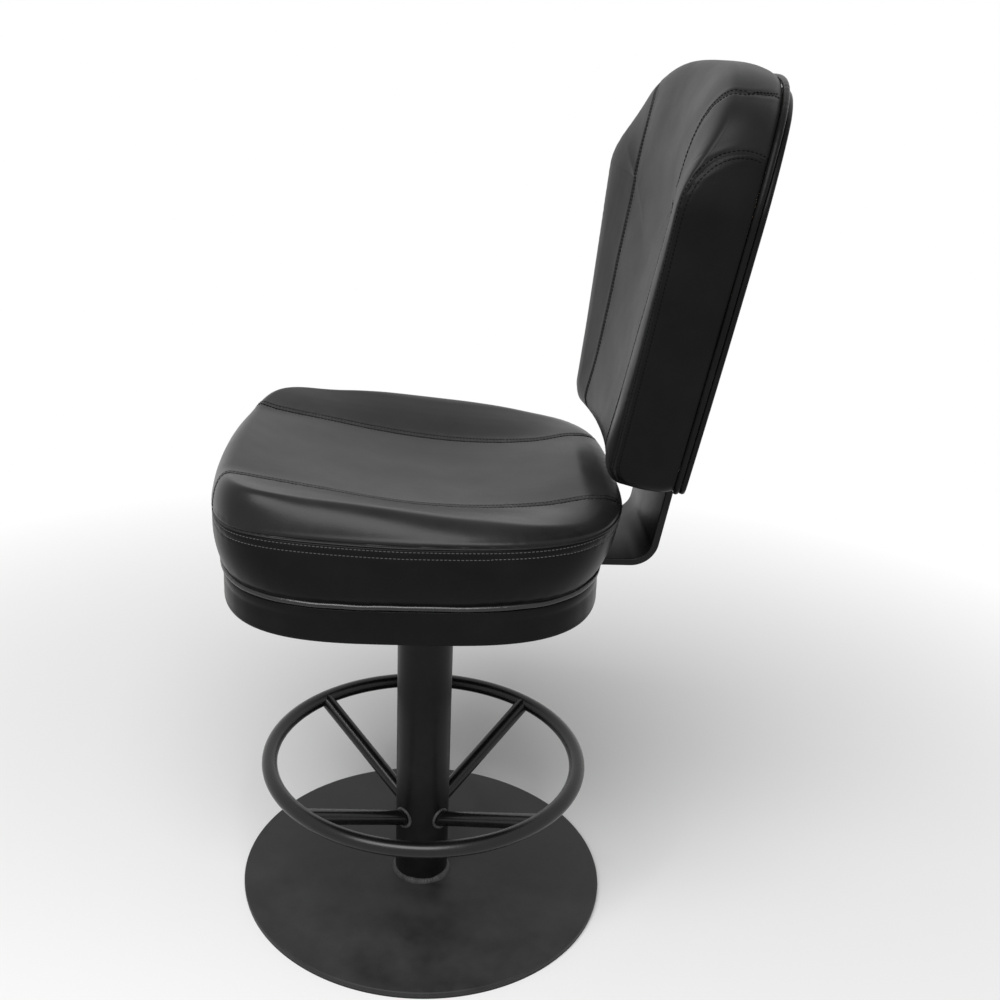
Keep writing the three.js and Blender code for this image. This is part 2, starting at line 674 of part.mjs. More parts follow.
// The side seam in plan: a superellipse, squarer in front, that narrows towards the front and bows there.
function seamOutline() {
  return circle(1, PLAN_FACETS).map(([c, s]) => {
    const squareness = s < 0 ? CUSHION_FRONT_SQUARENESS : CUSHION_REAR_SQUARENESS;
    const reach = (Math.abs(c) ** squareness + Math.abs(s) ** squareness) ** (-1 / squareness);
    const [across, along] = [c * reach, s * reach];
    const taper = CUSHION_FRONT_TAPER * Math.max(0, -along) ** CUSHION_TAPER_POWER;
    const bow = CUSHION_FRONT_BOW * Math.max(0, -along) ** CUSHION_BOW_POWER * across * across;
    return [
      (CUSHION_SEAM_HALF_WIDTH - taper) * across,
      CUSHION_SEAM_MIDDLE_Y + CUSHION_SEAM_HALF_DEPTH * along + bow,
    ];
  });
}

// A ring of the top. Step 0 is the middle, 1 the crest, where the edge starts to roll over, and 2 the seam.
function seatTopRing(seam, step) {
  return seam.map(([sx, sy]) => {
    const depth = sy - CUSHION_SEAM_MIDDLE_Y;
    const forwards = Math.max(0, -depth / Math.hypot(sx, depth));
    const sidewards = Math.abs(sx) / Math.hypot(sx, depth);
    const edge = THREE.MathUtils.lerp(CUSHION_SIDE_CREST_SHARE, CUSHION_FRONT_CREST_SHARE, forwards ** 3);
    const corner = (2 * forwards * sidewards) ** 4;
    const crest = THREE.MathUtils.lerp(edge, CUSHION_CORNER_CREST_SHARE, corner);
    const share = step <= 1 ? crest * step : crest + (1 - crest) * (step - 1);
    const roll = Math.max(0, step - 1);
    const x = sx * share;
    const y = CUSHION_SEAM_MIDDLE_Y + depth * share;
    const top = seatTop(x, y);
    return new THREE.Vector3(x, y, top - (top - cushionSeam) * (1 - Math.sqrt(1 - roll * roll)));
  });
}

function buildSeatCushion(parent) {
  const flat = (outline, height) => outline.map(([x, y]) => new THREE.Vector3(x, y, height));
  const seam = seamOutline();
  const foot = superellipse(
    CUSHION_FOOT_HALF_WIDTH, CUSHION_FOOT_HALF_DEPTH, SKIRT_MIDDLE_Y, SKIRT_SQUARENESS, PLAN_FACETS);

  const topRings = CUSHION_TOP_STEP_SHARES.map((step) => seatTopRing(seam, step));

  // The side leans out from the foot to the seam and swells between them.
  const sideRings = CUSHION_SIDE_STEP_SHARES.map((share) => seam.map(([sx, sy], i) => {
    const [fx, fy] = foot[i];
    const swell = CUSHION_SIDE_BULGE * Math.sin(share * Math.PI) * Math.sqrt(1 - share / 2);
    const out = new THREE.Vector2(sx, sy - CUSHION_SEAM_MIDDLE_Y).normalize().multiplyScalar(swell);
    const x = THREE.MathUtils.lerp(fx, sx, share) + out.x;
    const y = THREE.MathUtils.lerp(fy, sy, share) + out.y;
    return new THREE.Vector3(x, y, THREE.MathUtils.lerp(cushionBottom, cushionSeam, share));
  }));

  const recess = boardOutline(SEAT_GAP);
  const recessTop = boardTop + SEAT_GAP;
  const rings = [...topRings, ...sideRings, flat(recess, cushionBottom), flat(recess, recessTop)];
  const crown = new THREE.Vector3(0, CUSHION_SEAM_MIDDLE_Y, seatTop(0, CUSHION_SEAM_MIDDLE_Y));
  const ceiling = new THREE.Vector3(0, SKIRT_MIDDLE_Y, recessTop);
  addPiece(parent, "seat_cushion", skin(rings, [crown, ceiling]), blackVinyl);
}

function buildSkirt(parent) {
  const shell = (inset, height) =>
    skirtOutline(inset, PLAN_FACETS).map(([x, y]) => new THREE.Vector3(x, y, height));
  const edge = SKIRT_EDGE_RADIUS;
  const rings = [
    shell(0, boardBottom),
    shell(0, skirtBottom + edge),
    shell(edge * (1 - Math.SQRT1_2), skirtBottom + edge * (1 - Math.SQRT1_2)),
    shell(edge, skirtBottom),
    shell(SKIRT_WALL, skirtBottom),
    shell(SKIRT_WALL, boardBottom),
  ];
  const slotHalfWidth = BRACKET_HALF_WIDTH + SEAT_GAP;
  const slotFloor = boardBottom - BRACKET_THICKNESS - SEAT_GAP;
  const slotRear = SKIRT_MIDDLE_Y + SKIRT_HALF_DEPTH + CUT_OVERRUN;
  const slotOutline = [
    [BRACKET_FRONT_Y, slotFloor],
    [slotRear, slotFloor],
    [slotRear, boardBottom + CUT_OVERRUN],
    [BRACKET_FRONT_Y, boardBottom + CUT_OVERRUN],
  ];
  const slot = carriedAlongX(slotOutline, slotHalfWidth);
  addPiece(parent, "seat_skirt", cut(skin(rings, null), [slot]), blackVinyl);

  const coverOutline = skirtOutline(COVER_INSET, PLAN_FACETS);
  const columnHole = circle(COLUMN_RADIUS + COVER_HOLE_CLEARANCE, BEARING_FACETS);
  const cover = plate(coverOutline, skirtBottom - COVER_THICKNESS, skirtBottom, [columnHole]);
  addPiece(parent, "dust_cover", cover, coverFabric);

  const middleLine = skirtOutline(WELT_RADIUS - WELT_PROUD, WELT_PATH_FACETS);
  const path = middleLine.map(([x, y]) => new THREE.Vector3(x, y, weltMiddle));
  const cord = closedCord(path, WELT_RADIUS, () => new THREE.Vector3(0, 0, 1));
  addPiece(parent, "seat_welt", cord, blackPiping);
}

// The back's own frame: X as the row, Y rearwards from the bracket's face and Z up along the lean
const backFrame = new THREE.Group();
backFrame.position.set(0, BACK_FOOT_Y, backFoot);
backFrame.rotation.x = -BACK_LEAN;

// Rearward place of the bent shell: furthest back in the middle, further forward towards the sides.
function shellY(x) {
  const bend = BACK_BEND_RADIUS - Math.sqrt(BACK_BEND_RADIUS ** 2 - x * x);
  return BACK_SHELL_SETBACK - bend;
}

// Outline of the back seen from the front: straight sides that widen upwards, and an arched top.
function backOutline() {
  const w = BACK_FOOT_HALF_WIDTH;
  const s = BACK_SHOULDER_HALF_WIDTH;
  const corners = [[-w, 0], [w, 0], [s, BACK_SHOULDER_HEIGHT], [-s, BACK_SHOULDER_HEIGHT]];
  const foot = BACK_FOOT_CORNER_RADIUS;
  const shoulder = BACK_SHOULDER_CORNER_RADIUS;
  const rounded = roundedPolygon(corners, [foot, foot, shoulder, shoulder], CORNER_FACETS);
  const filled = rounded.flatMap((point, i) => {
    const next = rounded[(i + 1) % rounded.length];
    const steps = (i + 1) % (CORNER_FACETS + 1) === 0 ? EDGE_FACETS : 1;
    return Array.from({ length: steps }, (_, k) => [
      THREE.MathUtils.lerp(point[0], next[0], k / steps),
      THREE.MathUtils.lerp(point[1], next[1], k / steps),
    ]);
  });
  const crownFrom = BACK_SHOULDER_HEIGHT - BACK_SHOULDER_CORNER_RADIUS;
  return filled.map(([x, z]) => {
    const arch = 1 - Math.abs(x / s) ** BACK_CROWN_SQUARENESS;
    const crown = BACK_CROWN * arch * smoothstep(crownFrom, BACK_SHOULDER_HEIGHT, z);
    return [x, z + crown];
  });
}

const outlineOfBack = backOutline();

// How far a height belongs to the arched top: 0 below the shoulders, 1 above them.
function topShare(z) {
  const low = BACK_SHOULDER_HEIGHT - BACK_SHOULDER_CORNER_RADIUS;
  return smoothstep(low, BACK_SHOULDER_HEIGHT + BACK_CROWN / 2, z);
}

// The outline drawn in by a width all round, towards the back's middle, and by more at the top if asked.
function insetBack(width, topWidth = 0) {
  return outlineOfBack.map(([x, z]) => {
    const inset = width + topWidth * topShare(z);
    const [low, high] = BACK_INSET_CENTRE_SHARES.map((share) => BACK_MIDDLE_RISE * share);
    const middle = new THREE.Vector2(0, THREE.MathUtils.clamp(z, low, high));
    const spoke = new THREE.Vector2(x, z).sub(middle);
    return [x - inset * spoke.x / spoke.length(), z - inset * spoke.y / spoke.length()];
  });
}

function shareOfBack(outline, share) {
  return outline.map(([x, z]) => [x * share, BACK_MIDDLE_RISE + (z - BACK_MIDDLE_RISE) * share]);
}

// A ring of points at a depth in front of the shell.
function shellRing(outline, depth) {
  return outline.map(([x, z]) => new THREE.Vector3(x, shellY(x) - depth, z));
}

function shellPole(depth) {
  return new THREE.Vector3(0, shellY(0) - depth, BACK_MIDDLE_RISE);
}

// A bent sheet with the shell's curve, between two depths in front of it.
function bentSheet(outline, rear, front, edge) {
  const inner = BACK_SHEET_RING_SHARES;
  const tucked = shareOfBack(outline, 1 - edge / BACK_MIDDLE_RISE);
  const rings = [
    ...inner.map((share) => shellRing(shareOfBack(outline, share), front)),
    shellRing(outline, front),
    shellRing(outline, rear + edge),
    shellRing(tucked, rear),
    ...inner.toReversed().map((share) => shellRing(shareOfBack(outline, share), rear)),
  ];
  return skin(rings, [shellPole(front), shellPole(rear)]);
}

// The room that the bracket's riser takes in the back, with a gap all round and further behind if asked.
function riserRoom(behind = 0) {
  const gap = BACK_CHANNEL_GAP;
  const rear = BRACKET_THICKNESS + gap + behind;
  const top = BRACKET_RISE_IN_BACK + gap;
  const outline = [[-SEAT_GAP, -CUT_OVERRUN], [rear, -CUT_OVERRUN], [rear, top], [-SEAT_GAP, top]];
  return carriedAlongX(outline, BRACKET_HALF_WIDTH + gap);
}

// A screw along the back's Y axis, head to the rear, and the room that its shank takes.
function backRod(x, z, radius, fromY, toY) {
  return rod(new THREE.Vector3(x, fromY, z), new THREE.Vector3(x, toY, z), radius, SMALL_FACETS);
}

function backScrewPlaces() {
  const x = BACK_SCREW_PLACE_X;
  const low = BACK_SCREW_FIRST_RISE;
  const high = BACK_SCREW_FIRST_RISE + BACK_SCREW_SPACING;
  return [[x, low], [x, high], [-x, high], [-x, low]];
}

// A countersunk head, its flat face at the riser's rear.
function countersink(x, z, gap) {
  const rear = BRACKET_THICKNESS + gap;
  const from = new THREE.Vector3(x, rear, z);
  const cone = new THREE.CylinderGeometry(
    BACK_SCREW_RADIUS + gap, BACK_SCREW_HEAD_RADIUS + gap, BACK_SCREW_HEAD_HEIGHT + gap, SMALL_FACETS);
  cone.rotateX(Math.PI);
  return cone.translate(from.x, from.y - (BACK_SCREW_HEAD_HEIGHT + gap) / 2, from.z);
}

// Handle screws stand square to the bent panel, so they are turned about the shell's axis.
function handleScrewTurns() {
  const angle = Math.asin(HANDLE_SCREW_PLACE / (BACK_BEND_RADIUS + BACK_PANEL_THICKNESS));
  const middle = HANDLE_LOW_RISE + HANDLE_STRAP_HEIGHT / 2;
  const half = HANDLE_SCREW_SPACING / 2;
  return [[angle, middle - half], [angle, middle + half], [-angle, middle + half], [-angle, middle - half]];
}

function aboutShellAxis(geometry, angle) {
  const axisY = shellY(0) - BACK_BEND_RADIUS;
  return geometry.translate(0, -axisY, 0).rotateZ(-angle).translate(0, axisY, 0);
}

// Depths behind the shell, in order: welt, panel, handle foot
const weltDepth = 2 * WELT_RADIUS + SEAT_GAP;
const panelFrontY = weltDepth + SEAT_GAP;
const panelRearY = panelFrontY + BACK_PANEL_THICKNESS;
const handleFootY = panelRearY + SEAT_GAP;

function handleScrew(angle, z, gap) {
  const headFace = shellY(0) + handleFootY + HANDLE_STRAP_THICKNESS;
  const tip = shellY(0) - HANDLE_SCREW_GRIP - gap;
  const shank = backRod(0, z, HANDLE_SCREW_RADIUS + gap, tip, headFace + HANDLE_SCREW_HEAD_HEIGHT / 2 + gap);
  return { shank: aboutShellAxis(shank, angle), headFace };
}

function buildBackShell(parent) {
  const boardOutlineOfBack = insetBack(BACK_BOARD_INSET);
  const board = bentSheet(boardOutlineOfBack, 0, BACK_BOARD_THICKNESS, 0);
  const grip = -BACK_SCREW_GRIP - SEAT_GAP;
  const pilots = backScrewPlaces().map(([x, z]) =>
    backRod(x, z, BACK_SCREW_RADIUS + SEAT_GAP, grip, BRACKET_THICKNESS));
  const handlePilots = handleScrewTurns().map(([angle, z]) => handleScrew(angle, z, SEAT_GAP).shank);
  const cutBoard = cut(board, [riserRoom(), ...pilots, ...handlePilots]);
  addPiece(parent, "back_board", cutBoard, plywood);

  const path = shellRing(insetBack(WELT_RADIUS), -SEAT_GAP - WELT_RADIUS);
  const cord = closedCord(path, WELT_RADIUS, () => new THREE.Vector3(0, 1, 0));
  addPiece(parent, "back_welt", cut(cord, [riserRoom(CUT_OVERRUN)]), blackPiping);

  const panelOutline = insetBack(BACK_PANEL_EDGE / 2, BACK_PANEL_TOP_DROP);
  const panel = bentSheet(panelOutline, -panelRearY, -panelFrontY, BACK_PANEL_EDGE);
  addPiece(parent, "back_panel", cut(panel, [riserRoom(), ...handlePilots]), blackVinyl);

  backScrewPlaces().forEach(([x, z], i) => {
    const shank = backRod(x, z, BACK_SCREW_RADIUS, -BACK_SCREW_GRIP, BRACKET_THICKNESS);
    const screw = toSolid(shank).add(toSolid(countersink(x, z, 0)));
    addPiece(parent, `back_screw_${i + 1}`, toGeometry(screw), zincSteel);
  });
}

// Back cushion: upright walls at the sides, a deep roll over the top, a smaller one at the foot
function buildBackCushion(parent) {
  const footness = (z) => 1 - smoothstep(0, BACK_FOOT_CORNER_RADIUS, z);
  const mix = (side, top, foot, z) => side + (top - side) * topShare(z) + (foot - side) * footness(z);
  const thickness = (z) => BACK_CUSHION_THICKNESS - BACK_CUSHION_THINNING * (z / BACK_SHOULDER_HEIGHT);
  const wall = (z) => mix(BACK_SIDE_WALL, BACK_TOP_WALL, BACK_FOOT_WALL, z);
  const crestShare = (z) => mix(BACK_SIDE_CREST_SHARE, BACK_TOP_CREST_SHARE, BACK_FOOT_CREST_SHARE, z);
  const edge = outlineOfBack.map(([x, z]) => {
    const out = new THREE.Vector2(x, z - BACK_MIDDLE_RISE).normalize();
    const lift = BACK_TOP_SWELL * topShare(z);
    return { x: x + out.x * lift, z: z + out.y * lift, out, lift, low: wall(z), crest: crestShare(z) };
  });

  // A ring on the front, from the edge, share 1, to the middle, share 0.
  const frontRing = (step) => edge.map(({ x, z, low, crest }) => {
    const share = step >= 1 ? crest + (1 - crest) * (step - 1) : crest * step;
    const roll = Math.max(0, step - 1);
    const px = x * share;
    const pz = BACK_MIDDLE_RISE + (z - BACK_MIDDLE_RISE) * share;
    const rise = (thickness(pz) - low) * Math.sqrt(1 - roll * roll);
    const dish = BACK_CUSHION_DISH * (1 - Math.min(1, step) ** 2);
    return new THREE.Vector3(px, shellY(px) - low - rise + dish, pz);
  });

  const sideRing = (share) => edge.map(({ x, z, out, lift, low }) => {
    const tuck = BACK_REAR_TUCK * Math.max(0, 1 - share / BACK_TUCK_REACH_SHARE) ** 2;
    const settle = lift * (1 - Math.sin((share * Math.PI) / 2));
    const push = BACK_SIDE_SWELL * Math.sin(share * Math.PI) - tuck - settle;
    const px = x + out.x * push;
    return new THREE.Vector3(px, shellY(px) - SEAT_GAP - (low - SEAT_GAP) * share, z + out.y * push);
  });

  const recess = insetBack(BACK_BOARD_INSET - SEAT_GAP);
  const recessFloor = BACK_BOARD_THICKNESS + SEAT_GAP;
  const floorRing = (share) => shellRing(shareOfBack(recess, share), recessFloor);
  const rings = [
    ...BACK_FRONT_STEP_SHARES.map(frontRing),
    ...BACK_SIDE_STEP_SHARES.map(sideRing),
    shellRing(recess, SEAT_GAP),
    shellRing(recess, recessFloor),
    ...BACK_SHEET_RING_SHARES.toReversed().map(floorRing),
  ];
  const nose = shellPole(thickness(BACK_MIDDLE_RISE) - BACK_CUSHION_DISH);
  const cushion = skin(rings, [nose, shellPole(recessFloor)]);
  addPiece(parent, "back_cushion", cut(cushion, [riserRoom()]), blackVinyl);
}

// Pull handle: a flat strap with two feet on the panel, standing off between them
function buildHandle(parent) {
  const axisY = shellY(0) - BACK_BEND_RADIUS;
  const footRadius = BACK_BEND_RADIUS + handleFootY + HANDLE_STRAP_THICKNESS / 2;
  const onFoot = (place) => {
    const angle = Math.asin(place / footRadius);
    return [footRadius * Math.sin(angle), axisY + footRadius * Math.cos(angle)];
  };
  const gripY = shellY(0) + panelRearY + HANDLE_STAND_OFF - HANDLE_STRAP_THICKNESS / 2;
  const grip = [HANDLE_GRIP_HALF_LENGTH, gripY];
  const half = [onFoot(HANDLE_FOOT_OUTER_PLACE), onFoot(HANDLE_FOOT_INNER_PLACE), grip];
  const middleLine = [...half, ...half.toReversed().map(([x, y]) => [-x, y])];
  const outline = strapOutline(middleLine, HANDLE_STRAP_THICKNESS, HANDLE_BEND_RADIUS);
  const strap = plate(outline, HANDLE_LOW_RISE, HANDLE_LOW_RISE + HANDLE_STRAP_HEIGHT);
  const holes = handleScrewTurns().map(([angle, z]) => handleScrew(angle, z, SEAT_GAP).shank);
  addPiece(parent, "pull_handle", cut(strap, holes), powderCoat);

  handleScrewTurns().forEach(([angle, z], i) => {
    const { shank, headFace } = handleScrew(angle, z, 0);
    const head = backRod(0, z, HANDLE_SCREW_HEAD_RADIUS, headFace, headFace + HANDLE_SCREW_HEAD_HEIGHT);
    const screw = toSolid(shank).add(toSolid(aboutShellAxis(head, angle)));
    addPiece(parent, `handle_screw_${i + 1}`, toGeometry(screw), zincSteel);
  });
}

// The outline of a strap of even thickness along an open line of [a, b] points with rounded bends.
function strapOutline(line, thickness, bendRadius) {
  const bends = line.map((_, i) => (i === 0 || i === line.length - 1 ? 0 : bendRadius));
  const soft = line.flatMap((point, i) => (bends[i] === 0 ? [point] : bendPoints(line, i, bends[i])));
  const side = (sign) => soft.map((point, i) => {
    const before = new THREE.Vector2(...soft[Math.max(0, i - 1)]);
    const after = new THREE.Vector2(...soft[Math.min(soft.length - 1, i + 1)]);
    const along = after.sub(before).normalize();
    return [point[0] - sign * along.y * thickness / 2, point[1] + sign * along.x * thickness / 2];
  });
  return [...side(1), ...side(-1).toReversed()];
}

// Points of the arc that rounds one bend of an open line.
function bendPoints(line, i, radius) {
  const here = new THREE.Vector2(...line[i]);
  const back = new THREE.Vector2(...line[i - 1]).sub(here).normalize();
  const ahead = new THREE.Vector2(...line[i + 1]).sub(here).normalize();
  const half = back.angleTo(ahead) / 2;
  const reach = radius / Math.tan(half);
  const middle = here.clone().addScaledVector(back.clone().add(ahead).normalize(), radius / Math.sin(half));
  const start = here.clone().addScaledVector(back, reach).sub(middle);
  const end = here.clone().addScaledVector(ahead, reach).sub(middle);
  const sweep = Math.atan2(start.cross(end), start.dot(end));
  return Array.from({ length: BEND_FACETS + 1 }, (_, k) => {
    const spot = start.clone().rotateAround(new THREE.Vector2(), (sweep * k) / BEND_FACETS).add(middle);
    return [spot.x, spot.y];
  });
}

// Bracket: level under the seat board, bent up behind the seat, then leaning back with the back
function buildBracket(parent) {
  const middleDepth = BRACKET_THICKNESS / 2;
  const lean = new THREE.Vector2(Math.sin(BACK_LEAN), Math.cos(BACK_LEAN));
  const rearwards = new THREE.Vector2(Math.cos(BACK_LEAN), -Math.sin(BACK_LEAN));
  const foot = new THREE.Vector2(BACK_FOOT_Y, backFoot).addScaledVector(rearwards, middleDepth);
  const levelZ = boardBottom - middleDepth;
  const corner = foot.clone().addScaledVector(lean, (levelZ - foot.y) / lean.y);
  const top = foot.clone().addScaledVector(lean, BRACKET_RISE_IN_BACK);
  const line = [[BRACKET_FRONT_Y, levelZ], [corner.x, corner.y], [top.x, top.y]];
  const profile = strapOutline(line, BRACKET_THICKNESS, BRACKET_BEND_RADIUS + middleDepth);
  const bent = carriedAlongX(profile, BRACKET_HALF_WIDTH);

  const under = boltHoles(bracketPlaces(), boardBottom - BRACKET_THICKNESS, boardBottom);
  backFrame.updateMatrix();
  const screwRooms = backScrewPlaces().flatMap(([x, z]) => [
    backRod(x, z, BACK_SCREW_RADIUS + SEAT_GAP, -CUT_OVERRUN, CUT_OVERRUN),
    countersink(x, z, SEAT_GAP),
  ]).map((room) => room.applyMatrix4(backFrame.matrix));
  addPiece(parent, "back_bracket", cut(bent, [...under, ...screwRooms]), powderCoat);
}

const base = new THREE.Group();
const seat = new THREE.Group();
buildBase(base);
buildFootRing(base);
buildFixedBearing(base);
buildSpindle(seat);
buildSeatStructure(seat);
buildSkirt(seat);
buildSeatCushion(seat);
buildBracket(seat);
buildBackShell(backFrame);
buildBackCushion(backFrame);
buildHandle(backFrame);
seat.add(backFrame);
parts.add(base, seat);

export default parts;
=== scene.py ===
"""Casino stool: smooth shapes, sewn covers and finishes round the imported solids."""

import logging
from collections.abc import Callable
from dataclasses import dataclass
from enum import Enum
from functools import cached_property

import bpy
import numpy as np
from mathutils import Matrix, Vector

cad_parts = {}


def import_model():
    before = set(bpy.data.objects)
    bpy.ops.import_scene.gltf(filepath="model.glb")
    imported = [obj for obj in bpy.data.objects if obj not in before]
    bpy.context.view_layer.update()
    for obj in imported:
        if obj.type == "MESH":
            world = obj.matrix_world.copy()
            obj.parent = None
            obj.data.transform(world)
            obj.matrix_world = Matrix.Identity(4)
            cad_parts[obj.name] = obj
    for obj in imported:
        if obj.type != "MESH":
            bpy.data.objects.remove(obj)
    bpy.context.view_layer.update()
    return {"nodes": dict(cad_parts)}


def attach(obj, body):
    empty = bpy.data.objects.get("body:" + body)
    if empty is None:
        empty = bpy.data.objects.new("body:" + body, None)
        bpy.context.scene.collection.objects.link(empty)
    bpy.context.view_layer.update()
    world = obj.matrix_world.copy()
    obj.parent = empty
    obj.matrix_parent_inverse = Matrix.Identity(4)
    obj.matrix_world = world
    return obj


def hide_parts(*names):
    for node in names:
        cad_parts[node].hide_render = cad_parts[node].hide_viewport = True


LOG = logging.getLogger("stool")
MM = 0.001
FULL_TURN = 2.0 * np.pi
SHARP_ANGLE = np.radians(38.0)
READ_WIDTH = 6.0
EDGE_CROWDING = 1.6

Array = np.ndarray
Colour = tuple[float, float, float, float]
Frame = dict[str, object]
OfPoints = Callable[[Array], Array]
Pair = tuple[float, float]
Triple = tuple[float, float, float]
Table = tuple[float, ...]
Rows = tuple[Triple, ...]
Material = bpy.types.Material
Socket = bpy.types.NodeSocket


class Body(Enum):
    """The two bodies of the stool."""

    BASE = "base"
    SEAT = "seat"


class Slot(Enum):
    """The material slots of the record."""

    VINYL = "black_vinyl"
    PIPING = "black_piping"
    COAT = "powder_coat"
    WELD = "weld_bead"
    BAR = "bar_steel"
    ZINC = "zinc_steel"
    NYLON = "bush_nylon"
    PLYWOOD = "plywood"
    RUBBER = "pad_rubber"
    CLOTH = "cover_cloth"


def grey(level: float) -> Colour:
    """A neutral colour of one linear level."""
    return (level, level, level, 1.0)


# Sums on whole arrays


def smooth(low: float, high: float, value: Array) -> Array:
    """Rises from 0 at low to 1 at high with level ends."""
    share = np.clip((value - low) / (high - low), 0.0, 1.0)
    return share * share * (3.0 - 2.0 * share)


def between(first: Array, second: Array, share: Array) -> Array:
    """The value at a share of the way from the first to the second."""
    return first + (second - first) * share


def above_zero(value: Array, softness: float) -> Array:
    """The value where it is positive and 0 where it isn't, with a soft turn between."""
    return 0.5 * (value + np.sqrt(value * value + softness * softness))


def hump(distance: Array, width: float) -> Array:
    """A bell of height 1 that fades over a width."""
    return np.exp(-((distance / width) ** 2))


def unit(vectors: Array) -> Array:
    """Vectors of length 1 along the last axis."""
    return vectors / np.maximum(np.linalg.norm(vectors, axis=-1, keepdims=True), 1e-9)


def wander(points: Array, wavelength: float, seed: int, waves: int = 7) -> Array:
    """A soft uneven value between about -1 and 1: plane waves in seeded directions, added up.

    Args:
        points: Places, with 1 or more coordinates on the last axis.
        wavelength: The usual distance from crest to crest.
        seed: Chooses the directions and phases.
        waves: How many waves are added.

    Returns:
        One value for each place.
    """
    chance = np.random.default_rng(seed)
    ways = unit(chance.normal(size=(waves, points.shape[-1])))
    lengths = wavelength * chance.uniform(0.7, 1.5, waves)
    phases = chance.uniform(0.0, FULL_TURN, waves)
    total = np.sin(points @ (ways / lengths[:, None] * FULL_TURN).T + phases).sum(axis=-1)
    return total / np.sqrt(waves * 1.2)


def arc_lengths(path: Array) -> Array:
    """Length along a line of points up to each of them."""
    steps = np.linalg.norm(np.diff(path, axis=0), axis=-1)
    return np.concatenate([[0.0], np.cumsum(steps)])


def along_line(places: Array, run: Array, line: Array) -> Array:
    """Points of a line at some places, read between the places of its own points."""
    return np.stack([np.interp(places, run, line[:, k]) for k in range(line.shape[1])], axis=-1)


def mirrored(line: Array) -> list[Array]:
    """A line on the right and the same on the left."""
    return [line, line * np.array([-1.0, 1.0, 1.0])]


def lattice(across: Array, up: Array) -> Array:
    """A grid of places from its columns and its rows."""
    return np.stack(np.meshgrid(across, up, indexing="xy"), axis=-1)


def evenly(path: Array, spacing: float) -> Array:
    """The same line with points at an even spacing."""
    run = arc_lengths(path)
    count = max(3, int(round(run[-1] / spacing)) + 1)
    return along_line(np.linspace(0.0, run[-1], count), run, path)


def softened(path: Array, reach: int) -> Array:
    """The same line with each point replaced by the mean of its neighbours on both sides."""
    window = np.ones(2 * reach + 1) / (2 * reach + 1)
    held = np.concatenate([np.repeat(path[:1], reach, axis=0), path, np.repeat(path[-1:], reach, axis=0)])
    return np.stack([np.convolve(held[:, k], window, mode="valid") for k in range(path.shape[1])], axis=1)


def near_line(points: Array, line: Array) -> Array:
    """Distance from each point to the nearest point of a line of closely spaced points."""
    flat = points.reshape(-1, 3)
    nearest = np.full(len(flat), 1e9)
    low, high = line.min(axis=0) - 40.0, line.max(axis=0) + 40.0
    close = np.flatnonzero(np.all((flat > low) & (flat < high), axis=1))
    for part in np.array_split(close, max(1, len(close) // 4000)):
        gaps = flat[part][:, None, :] - line[None, :, :]
        nearest[part] = np.sqrt((gaps ** 2).sum(axis=2).min(axis=1))
    return nearest.reshape(points.shape[:-1])


def grid_normals(grid: Array) -> Array:
    """Unit normals of a grid of points: the cross product of its two run directions."""
    along_rows = np.gradient(grid, axis=0)
    along_columns = np.gradient(grid, axis=1)
    return unit(np.cross(along_rows, along_columns))


def soft_read(place: Array, places: Table, values: Table, reach: float) -> Array:
    """A value read from a table and averaged over a reach on both sides, so that its line has no corners."""
    steps = np.linspace(-1.0, 1.0, 9) * reach
    weights = hump(steps, READ_WIDTH)
    reads = np.stack([np.interp(place + step, places, values) for step in steps], axis=-1)
    return (reads * weights).sum(axis=-1) / weights.sum()


def at_height(plan: Array, height: float) -> Array:
    """Points of a plan with one height added."""
    return np.concatenate([plan, np.full((*plan.shape[:-1], 1), height)], axis=-1)


def crowded_steps(inner: int, outer: int, edge: float, density: float, width: float) -> Array:
    """Places from -1 to 1 that crowd together towards both ends and half way, where a seam runs.

    Args:
        inner: Steps between the middle and the edge's share.
        outer: Steps from there to the end.
        edge: The share where the edge begins.
        density: How much closer the steps lie half way.
        width: How far that reaches.

    Returns:
        The places, in order.
    """
    turn = 1.0 - (1.0 - np.linspace(0.0, 1.0, outer + 1)[1:]) ** EDGE_CROWDING
    ends = edge + (1.0 - edge) * np.sin(0.5 * np.pi * turn)
    dense = np.linspace(0.0, edge, 4000)
    crowd = np.cumsum(1.0 + density * hump(dense - 0.5, width))
    crowd = (crowd - crowd[0]) / (crowd[-1] - crowd[0])
    half = np.concatenate([np.interp(np.linspace(0.0, 1.0, inner + 1), crowd, dense), ends])
    return np.concatenate([-half[:0:-1], half])


def folds(distance: Array, rows: Rows) -> Array:
    """Ridges and grooves beside a seam; each row gives a height, a distance from the seam and a width."""
    return sum(height * hump(distance - middle, width) for height, middle, width in rows)


def uneven(points: Array, rows: Rows) -> Array:
    """Soft lumps and hollows; each row gives a height, a size and a seed."""
    return sum(height * wander(points, size, int(seed)) for height, size, seed in rows)


def gathered(radius: float, along: Array, seed: int) -> Array:
    """The radius of a covered cord, which its gathers change a little along its length."""
    return radius * (0.985 + 0.02 * wander(along, 9.0, seed))


